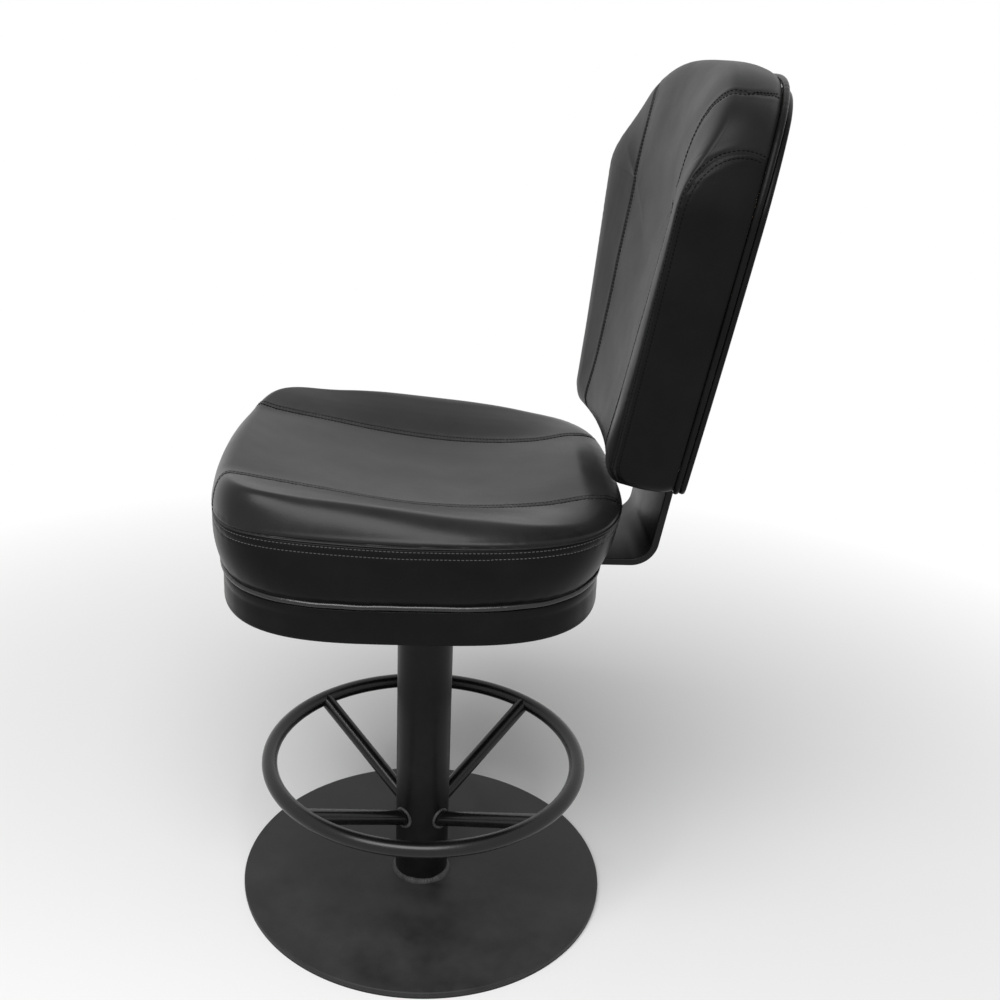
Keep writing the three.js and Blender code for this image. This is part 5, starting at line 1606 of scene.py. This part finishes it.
    def front_points(self, square: Array) -> Array:
        """Points of the front for places on a square of -1..1, whose border is the cushion's edge."""
        share = np.maximum(np.abs(square).max(axis=-1), 1e-6)
        outline = self.reach(self.square_ways(square / share[..., None]))
        rim, _, _ = self.edge(outline)
        low = self.mix(self.side_wall, self.top_wall, self.foot_wall, outline[..., 1])
        crest = self.mix(self.side_crest, self.top_crest, self.foot_crest, outline[..., 1])
        roll = np.clip((share - crest) / (1.0 - crest), 0.0, 1.0)
        x = rim[..., 0] * share
        z = self.middle + (rim[..., 1] - self.middle) * share
        thick = self.thickness - self.thinning * z / self.shoulder_height
        rise = (thick - low) * np.sqrt(np.maximum(0.0, 1.0 - roll ** 2))
        dish = self.dish * (1.0 - np.minimum(1.0, share / crest) ** 2)
        return np.stack([x, self.shell(x) - low - rise + dish, z], axis=-1)

    def eased(self, front: Array, places: Array) -> Array:
        """Evens out the depth of the upper front, so that the shoulders swell without a ridge."""
        depth = front[..., 1].copy()
        inside = 1.0 - smooth(0.955, 0.99, np.abs(places).max(axis=-1))
        ease = 0.9 * smooth(215.0, 275.0, front[..., 2]) * inside
        for _ in range(self.easing):
            around = 0.25 * (depth[:-2, 1:-1] + depth[2:, 1:-1] + depth[1:-1, :-2] + depth[1:-1, 2:])
            depth[1:-1, 1:-1] += ease[1:-1, 1:-1] * (around - depth[1:-1, 1:-1])
        return np.stack([front[..., 0], depth, front[..., 2]], axis=-1)

    def side_points(self, outline: Array, share: Array) -> Array:
        """Rings of the side from the back, share 0, to the front edge, share 1."""
        rim, out, lift = self.edge(outline)
        low = self.mix(self.side_wall, self.top_wall, self.foot_wall, outline[:, 1])
        share = share[:, None]
        tuck = self.tuck * np.maximum(0.0, 1.0 - 4.0 * share) ** 2
        settle = lift[None] * (1.0 - np.sin(0.5 * np.pi * share))
        push = self.side_swell * np.sin(share * np.pi) - tuck - settle
        plan = rim[None] + out[None] * push[..., None]
        y = self.shell(plan[..., 0]) - self.gap - (low[None] - self.gap) * share
        return np.stack([plan[..., 0], y, plan[..., 1]], axis=-1)

    def inset(self, outline: Array, width: float, top_width: float = 0.0) -> Array:
        """The outline drawn in all round, and by more at the top if asked."""
        level = np.clip(outline[:, 1], 0.5 * self.middle, 1.5 * self.middle)
        heart = np.stack([np.zeros(len(outline)), level], axis=1)
        step = width + top_width * self.top_share(outline[:, 1])
        return outline - unit(outline - heart) * step[:, None]

    def on_shell(self, outline: Array, depth: float) -> Array:
        """Points over an outline at a depth behind the shell."""
        return np.stack([outline[..., 0], self.shell(outline[..., 0]) + depth, outline[..., 1]], axis=-1)

    def front_seam(self, z: Array) -> Array:
        """Half the distance between the two seams of the front at a height."""
        return soft_read(z, self.seam_places_z, self.seam_places_x, self.seam_softness)

    def past_seam(self, points: Array) -> Array:
        """How far points of the front lie outside its seams."""
        return np.abs(points[..., 0]) - self.front_seam(points[..., 2])

    def square_places(self) -> Array:
        """The square's grid, closer at the edge, with the column at 0.5 drawn onto the front seams."""
        steps = crowded_steps(self.fine * 7 // 10, self.fine * 3 // 10, 0.84, 3.5, 0.04)
        return drawn_to_seam(steps, self.front_points, self.past_seam, (0.3, 0.78))

    def cover_parts(self) -> tuple[Array, Array, Array]:
        """Grid of the front, rings of the side and rings of the hidden rear, in the back's own frame."""
        places = self.square_places()
        front = self.eased(self.front_points(places), places)
        border = border_of(places.shape[:2])
        outline = self.reach(self.square_ways(places.reshape(-1, 2)[border]))
        side = self.side_points(outline, 1.0 - np.array(self.side_depths))
        recess = self.inset(outline, self.board_inset - self.gap)
        depths = (-self.gap, -self.board_thickness - self.gap)
        rear = np.stack([self.on_shell(recess, depth) for depth in depths])
        return front, side, rear

    def assembled(self, front: Array, side: Array, rear: Array) -> Skin:
        """Joins the three parts of the cover and leans it into place."""
        skin = Skin()
        border = edge_of(skin.patch(self.placed(front)))
        rings = skin.rings(self.placed(np.concatenate([side, rear])))
        skin.bridge(border, rings[0])
        pole = np.array([0.0, self.setback - self.board_thickness - self.gap, self.middle])
        skin.close(rings[-1], self.placed(pole))
        return skin

    def front_seams(self) -> list[Array]:
        """The two seams of the front in the back's own frame."""
        rows = np.sin(np.linspace(-0.5 * np.pi, 0.5 * np.pi, 260))
        line, crosses = along_seam(rows, self.front_points, self.past_seam)
        line = np.concatenate([line[crosses][:-self.over_start], self.over_top()])
        line = softened(evenly(line, 2.0), 6)
        return mirrored(line)

    def over_top(self) -> Array:
        """Where a front seam runs on over the cushion's top side to the groove behind it."""
        outline = self.outline()
        arch = outline[(outline[:, 0] > 60.0) & (outline[:, 1] > self.shoulder_height)]
        arch = arch[np.argsort(arch[:, 0])]
        shares = np.linspace(0.96, 0.02, 24)
        x = np.interp(shares[::-1], self.over_shares, self.over_places)[::-1]
        spots = np.stack([x, np.interp(x, arch[:, 0], arch[:, 1])], axis=1)
        every = self.side_points(spots, shares)
        return every[np.arange(24), np.arange(24)]

    def boxing_seams(self) -> list[Array]:
        """The seams between front and sides, which turn rearwards under the shoulders, one for each side."""
        outline = self.outline()
        right = outline[outline[:, 0] > 0.0]
        right = right[np.argsort(right[:, 1])]
        low = right[(right[:, 1] > 6.0) & (right[:, 1] < self.turn_places_z[0])]
        start = self.side_points(low[::2], np.array([0.985]))[0]
        turn = evenly(np.stack([self.turn_places_y, self.turn_places_z], axis=1), 2.0)
        spots = along_line(turn[:, 1], right[:, 1], right)
        wall = self.mix(self.side_wall, self.top_wall, self.foot_wall, spots[:, 1])
        depth = (self.shell(spots[:, 0]) - self.gap - turn[:, 0]) / (wall - self.gap)
        depth = np.clip(depth, 0.0, 0.985)
        every = self.side_points(spots, np.linspace(0.0, 1.0, 60))
        row = np.clip(np.round(depth * 59.0).astype(int), 0, 59)
        end = every[row, np.arange(len(spots))]
        line = softened(np.concatenate([start, end]), 5)
        return [evenly(side, 2.0) for side in mirrored(line)]

    def on_boxing(self, spots: Array, group: int) -> Array:
        """Whether places on the cover, leaned back, lie on the side panels behind the boxing seams, which
        take the darker vinyl copy with painted shade.
        """
        own = self.unplaced(spots)
        depth, up = own[:, 1], own[:, 2]
        line = self.boxing_seams()[0]
        low = line[:np.argmax(line[:, 2])]
        front = np.interp(up, low[:, 2], low[:, 1])
        top = np.interp(depth, self.turn_places_y, self.turn_places_z)
        edge = np.interp(up, (0.0, self.shoulder_height), (self.foot_half_width, self.shoulder_half_width))
        inward = self.panel_reach[min(group, 1)]
        return (np.abs(spots[:, 0]) > edge - inward) & (depth > front) & (up < top)

    def sewn(self, points: Array, normals: Array, fronts: list[Array], boxes: list[Array]) -> Array:
        """Draws a part of the cover in along its seams, with puckers beside them."""
        flat_seam = np.minimum(near_line(points, fronts[0]), near_line(points, fronts[1]))
        box_seam = np.minimum(near_line(points, boxes[0]), near_line(points, boxes[1]))
        along = (points[..., 2] - 0.6 * points[..., 1])[..., None]
        rise = np.zeros(points.shape[:-1])
        for off, seed in ((flat_seam, 81), (box_seam, 84)):
            rise += folds(off, self.seam_folds)
            rise += 0.13 * wander(along, 9.5, seed) * hump(off - 4.0, 5.5)
        rise += uneven(points, self.lumps)
        rise *= smooth(0.5, 8.0, self.shell(points[..., 0]) - points[..., 1])
        return points + normals * rise[..., None]

    def stitch_rows(self, line: Array, facing: Array) -> list[Array]:
        """The rows of stitches on both sides of a seam whose cover faces some way, leaned into place."""
        across = unit(np.cross(np.gradient(line, axis=0), facing))
        return [self.placed(line + across * shift) for shift in (-self.row_shift, self.row_shift)]

    def build_cushion(self) -> None:
        """Cushion: filled by simulation, then sewn, then stitched."""
        front, side, rear = self.cover_parts()
        fronts, boxes = self.front_seams(), self.boxing_seams()
        seams = self.placed(np.concatenate([*fronts, *boxes]))

        def held(points: Array) -> Array:
            """Fixes the cover near its board."""
            return smooth(-26.0, -12.0, self.unplaced(points)[:, 1] - self.shell(points[:, 0]))

        start, move = self.filler.swelling(self.assembled(front, side, rear), seams, held)
        shifts = []
        for part in (front, side):
            leaned = self.placed(part)
            shifts.append(self.upright(self.filler.carried(leaned, start, move) - leaned))
        keep = smooth(0.0, 14.0, self.shell(side[..., 0]) - side[..., 1])
        front, side = front + shifts[0], side + shifts[1] * keep[..., None]
        normals = grid_normals(front)
        normals *= np.sign(-normals[..., 1:2] + 1e-6)
        front = self.sewn(front, normals, fronts, boxes)
        side = self.sewn(side, self.outwards(side), fronts, boxes)
        skin = self.assembled(front, side, rear)
        # Both are darker copies of the seat vinyl that paint shade: a dimmer one on the front, a darker one
        # on the side panels.
        first, second = self.paints.shaded_front_vinyl, self.paints.shaded_side_vinyl
        fitting = Fitting(Body.SEAT, Slot.VINYL, first, ("back_cushion",), second)
        cover = mount(skin, "back_cover", fitting, self.on_boxing)
        stitching = Stitching()
        thread = Fitting(Body.SEAT, Slot.PIPING, self.paints.thread)
        forwards = np.array([0.0, -1.0, 0.0])
        rows = [row for line in fronts for row in self.stitch_rows(line, forwards)]
        mount(stitching.bars(rows, cover), "back_front_stitches", thread)
        rows = [row for line in boxes for row in self.stitch_rows(line, self.outwards(line))]
        mount(stitching.bars(rows, cover), "back_side_stitches", thread)

    def build_piping(self) -> None:
        """Piping behind the cushion: one cord from one side of the bracket over the top to the other."""
        outline = self.outline()
        turn = np.unwrap(np.arctan2(outline[:, 1] - self.middle, outline[:, 0]))
        order = np.argsort((turn + 0.5 * np.pi) % FULL_TURN)
        line = self.inset(outline[order], self.welt_radius)
        inside = (np.abs(line[:, 0]) > self.bracket_half_width + 4.0) | (line[:, 1] > 40.0)
        line = line[inside]
        path = evenly(self.placed(self.on_shell(line, self.welt_radius + self.gap)), 1.6)
        along = arc_lengths(path)[:, None]
        radius = gathered(self.welt_radius, along, 91)
        piping = cord(path, radius, False, np.array([0.0, 1.0, 0.0]), 16)
        # The back's piping takes the darker vinyl copy: painted shade.
        mount(piping, "back_piping", Fitting(Body.SEAT, Slot.PIPING, self.paints.shaded_side_vinyl, ("back_welt",)))

    def build_panel(self) -> None:
        """Outer back: a covered panel with rolled edges, hollowed in front where the bracket runs."""
        steps = np.linspace(-1.0, 1.0, 121)
        places = lattice(steps, steps)
        share = np.maximum(np.abs(places).max(axis=-1), 1e-6)
        outer = self.reach(self.square_ways(places / share[..., None]))
        shape = outer.shape[:2]
        edge = self.inset(outer.reshape(-1, 2), 1.0 + self.panel_edge, self.panel_drop).reshape(*shape, 2)
        heart = np.array([0.0, self.middle])
        plan = heart + (edge - heart) * share[..., None]
        rear = self.on_shell(plan, self.panel_rear)
        rear[..., 1] += 0.25 * wander(plan, 60.0, 95) * (1.0 - share ** 6)
        front = self.on_shell(plan, self.panel_front)
        beside = np.abs(plan[..., 0]) < self.bracket_half_width + self.bracket_room
        room = beside & (plan[..., 1] < self.bracket_rise + self.bracket_room)
        behind = np.maximum(front[..., 1], self.bracket_thickness + self.gap)
        front[..., 1] = np.where(room, behind, front[..., 1])
        front[..., 1] = np.minimum(front[..., 1], rear[..., 1] - 0.8)
        rim = outer.reshape(-1, 2)[border_of(shape)]
        middle = 0.5 * (self.panel_front + self.panel_rear)
        half = 0.5 * (self.panel_rear - self.panel_front)
        turns = np.linspace(0.5 * np.pi, -0.5 * np.pi, 11)[1:-1]
        rings = []
        for turn in turns:
            drawn_in = self.inset(rim, 1.0 + self.panel_edge * (1.0 - np.cos(turn)), self.panel_drop)
            rings.append(self.on_shell(drawn_in, middle + half * np.sin(turn)))
        skin = Skin()
        rear_border = edge_of(skin.patch(self.placed(rear)))
        numbers = skin.rings(self.placed(np.stack(rings)))
        skin.bridge(rear_border, numbers[0])
        front_numbers = skin.patch(self.placed(front))
        skin.faces[-1] = skin.faces[-1][:, ::-1]
        skin.bridge(numbers[-1], edge_of(front_numbers))
        # The outer back takes the darker vinyl copy: painted shade.
        mount(skin, "outer_back", Fitting(Body.SEAT, Slot.VINYL, self.paints.shaded_side_vinyl, ("back_panel",)))

    @staticmethod
    def ribbon(path: Array, low: float, high: float, thickness: float, edge: float) -> Array:
        """Rings of a strap of even thickness along a plane path, with rounded long edges.

        Args:
            path: Points (a, b) along the strap's middle.
            low: One end of its width.
            high: The other end of its width.
            thickness: Its thickness.
            edge: Radius of its long edges.

        Returns:
            Rings of points (a, b, width).
        """
        along = unit(np.gradient(path, axis=0))
        across = np.stack([-along[:, 1], along[:, 0]], axis=1)
        half = 0.5 * thickness
        corners = np.array([[-half, low], [half, low], [half, high], [-half, high]])
        section = rounded_profile(corners, np.full(4, edge), 5)
        spot = path[:, None, :] + across[:, None, :] * section[None, :, :1]
        width = np.broadcast_to(section[None, :, 1:], (*spot.shape[:2], 1))
        return np.concatenate([spot, width], axis=2)

    @staticmethod
    def bent(points: Array, radii: Array, steps: int = 16) -> Array:
        """An open line with rounded bends."""
        line = [points[:1]]
        for k in range(1, len(points) - 1):
            arc = rounded_profile(points[k - 1:k + 2], np.array([0.001, radii[k - 1], 0.001]), steps)
            line.append(arc[steps + 1:2 * (steps + 1)])
        line.append(points[-1:])
        return np.concatenate(line)

    def strap(self, rings: Array, name: str, fitting: Fitting) -> None:
        """Closes a ribbon's rings at both ends and mounts it."""
        skin = Skin()
        first = rings[:1] + (rings[:1].mean(axis=1, keepdims=True) - rings[:1]) * 0.02
        last = rings[-1:] + (rings[-1:].mean(axis=1, keepdims=True) - rings[-1:]) * 0.02
        numbers = skin.rings(np.concatenate([first, rings, last]))
        skin.close(numbers[0][::-1], first[0].mean(axis=0))
        skin.close(numbers[-1], last[0].mean(axis=0))
        mount(skin, name, fitting)

    def build_bracket(self) -> None:
        """Bent steel bracket: level under the seat board, bent up, and leaning back with the back."""
        way = np.array([np.sin(self.lean), np.cos(self.lean)])
        depth = 0.5 * self.bracket_thickness
        foot = np.array([self.foot_y, self.foot_height]) + depth * np.array([way[1], -way[0]])
        corner = foot + way * (self.bracket_level - foot[1]) / way[1]
        line = np.array([[self.bracket_front, self.bracket_level], corner, foot + way * self.bracket_rise])
        path = self.bent(line, np.array([self.bracket_bend]), 40)
        step = self.bracket_step
        ladder = [evenly(path[:2], step), path[2:-2], evenly(path[-2:], step)]
        rings = self.ribbon(np.concatenate(ladder), -self.bracket_half_width, self.bracket_half_width,
                            self.bracket_thickness, self.bracket_edge)
        points = np.stack([rings[..., 2], rings[..., 0], rings[..., 1]], axis=-1)
        self.strap(points, "bent_bracket", Fitting(Body.SEAT, Slot.COAT, self.paints.coat, ("back_bracket",)))

    def build_handle(self) -> None:
        """Pull handle: a flat steel strap across the top of the outer back."""
        foot = np.array(self.handle_foot)
        depth = self.shell(foot) + self.panel_rear + self.gap + 0.5 * self.handle_thickness
        grip = self.shell(np.zeros(1))[0] + self.panel_rear + self.handle_standoff
        half = np.array([[foot[0], depth[0]], [foot[1], depth[1]], [self.handle_grip, grip]])
        line = np.concatenate([half, half[::-1] * np.array([-1.0, 1.0])])
        path = self.bent(line, np.full(4, self.handle_bend), 10)
        rings = self.ribbon(path, self.handle_low, self.handle_high, self.handle_thickness, self.handle_edge)
        fitting = Fitting(Body.SEAT, Slot.COAT, self.paints.coat, ("pull_handle",))
        self.strap(self.placed(rings), "pull_strap", fitting)

    def build(self) -> None:
        """Builds every piece of the back."""
        self.build_bracket()
        self.build_cushion()
        self.build_piping()
        self.build_panel()
        self.build_handle()


# Inner and small pieces that keep the shape of their solids


def dress_solids(frame: Frame, paints: Paintbox) -> None:
    """Gives every solid that stays its own finish."""
    finishes = {
        "bearing_housing": paints.bar, "spindle": paints.bar, "spindle_weld": paints.bar,
        "lower_bush": paints.nylon, "upper_bush": paints.nylon, "bearing_cage": paints.nylon,
        "lower_race": paints.zinc, "upper_race": paints.zinc, "swivel_plate": paints.coat,
        "seat_board": paints.plywood, "back_board": paints.plywood, "handle_screw": paints.coat,
    }
    for name, solid in frame["nodes"].items():
        stem = name.rstrip("0123456789").rstrip("_")
        finish = finishes.get(name, finishes.get(stem, paints.zinc))
        for slot in solid.material_slots:
            slot.material = finish


# Studio


@dataclass
class Studio:
    """Floor, light and camera. Lengths in metres."""

    camera_place: Triple = (1.28902, 0.00675, 1.00327)
    azimuth: float = float(np.radians(90.3))
    pitch: float = 0.3845
    roll: float = 0.0186
    lens: float = 43.17
    shift: Pair = (0.0725, 0.030)
    floor_radius: float = 30.0
    fade_start: float = 0.3
    fade_end: float = 1.5
    floor_level: float = 0.93
    world_level: float = 0.22
    lamp_place: Triple = (1.45, -0.4, 2.15)
    lamp_aim: Triple = (0.1, 0.0, 0.5)
    lamp_size: Pair = (2.1, 1.25)
    lamp_watts: float = 66.0

    def build_floor(self) -> None:
        """A pale floor that fades into the white background."""
        skin = Skin()
        ways = round_ways(96)
        radii = np.array([0.2, 1.0, 3.0, 10.0, self.floor_radius]) / MM
        flat = np.stack([at_height(ways * radius, 0.0) for radius in radii])
        numbers = skin.rings(flat)
        skin.close(numbers[0][::-1], np.zeros(3))
        floor = skin.object("studio_floor")
        graph = Graph.of_material("pale_floor")
        axes = graph.node("ShaderNodeSeparateXYZ", {}, {0: graph.place})
        x, y = Shade(graph, axes.outputs[0]), Shade(graph, axes.outputs[1])
        far = ((x * x + y * y) ** 0.5).spread(self.fade_start, self.fade_end)
        matt = graph.node("ShaderNodeBsdfDiffuse", {}, {"Color": grey(self.floor_level)})
        white = graph.node("ShaderNodeEmission", {}, {"Color": grey(1.0), "Strength": 1.0})
        share = (far * graph.background_rays()).spread(0.0, 1.0)
        parts = {0: share, 1: matt.outputs[0], 2: white.outputs[0]}
        mix = graph.node("ShaderNodeMixShader", {}, parts)
        graph.node("ShaderNodeOutputMaterial", {}, {"Surface": mix.outputs[0]})
        floor.data.materials.append(graph.owner)

    def build_world(self) -> None:
        """White for the camera and for reflections, softer for the light that falls on the stool."""
        world = bpy.data.worlds.new("studio")
        bpy.context.scene.world = world
        graph = Graph(world)
        strength = graph.node("ShaderNodeMapRange", {}, {
            "Value": graph.background_rays(), "To Min": self.world_level, "To Max": 1.0})
        sky = graph.node("ShaderNodeBackground", {}, {"Color": grey(1.0), "Strength": strength.outputs[0]})
        graph.node("ShaderNodeOutputWorld", {}, {"Surface": sky.outputs[0]})

    def build_lamp(self) -> None:
        """One large soft oblong lamp on the camera's side that looks at the stool."""
        light = bpy.data.lights.new("softbox", "AREA")
        light.shape = "RECTANGLE"
        light.size, light.size_y = self.lamp_size
        light.energy = self.lamp_watts
        lamp = bpy.data.objects.new("softbox", light)
        way = Vector(self.lamp_aim) - Vector(self.lamp_place)
        turn = way.to_track_quat("-Z", "Y").to_matrix().to_4x4()
        lamp.matrix_world = Matrix.Translation(self.lamp_place) @ turn
        bpy.context.scene.collection.objects.link(lamp)

    def build_camera(self) -> None:
        """The camera at the photograph's place, turned slightly about its own axis."""
        a, p = self.azimuth, self.pitch
        ahead = Vector((-np.sin(a) * np.cos(p), np.cos(a) * np.cos(p), -np.sin(p)))
        right = ahead.cross(Vector((0.0, 0.0, 1.0))).normalized()
        up = right.cross(ahead)
        turned_right = right * np.cos(self.roll) + up * np.sin(self.roll)
        turned_up = up * np.cos(self.roll) - right * np.sin(self.roll)
        axes = Matrix((turned_right, turned_up, -ahead)).transposed()
        data = bpy.data.cameras.new("camera")
        data.lens = self.lens
        data.sensor_width = 36.0
        data.shift_x, data.shift_y = self.shift
        data.clip_end = 200.0
        camera = bpy.data.objects.new("camera", data)
        camera.matrix_world = Matrix.Translation(self.camera_place) @ axes.to_4x4()
        bpy.context.scene.collection.objects.link(camera)
        bpy.context.scene.camera = camera

    def build(self) -> None:
        """Builds the studio."""
        self.build_floor()
        self.build_world()
        self.build_lamp()
        self.build_camera()
        bpy.context.scene.view_settings.view_transform = "Standard"


def corners(box: tuple[Vector, Vector]) -> list[list[float]]:
    """A box as plain lists."""
    return [[float(part) for part in corner] for corner in box]


def main() -> None:
    """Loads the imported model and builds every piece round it."""
    logging.basicConfig(level=logging.INFO, format="%(name)s: %(message)s")
    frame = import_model()
    paints = Paintbox()
    Studio().build()
    Pedestal(paints).build()
    filler = Filler(Padding())
    Seat(paints, filler).build()
    Back(paints, filler).build()
    dress_solids(frame, paints)


if __name__ == "__main__":
    main()
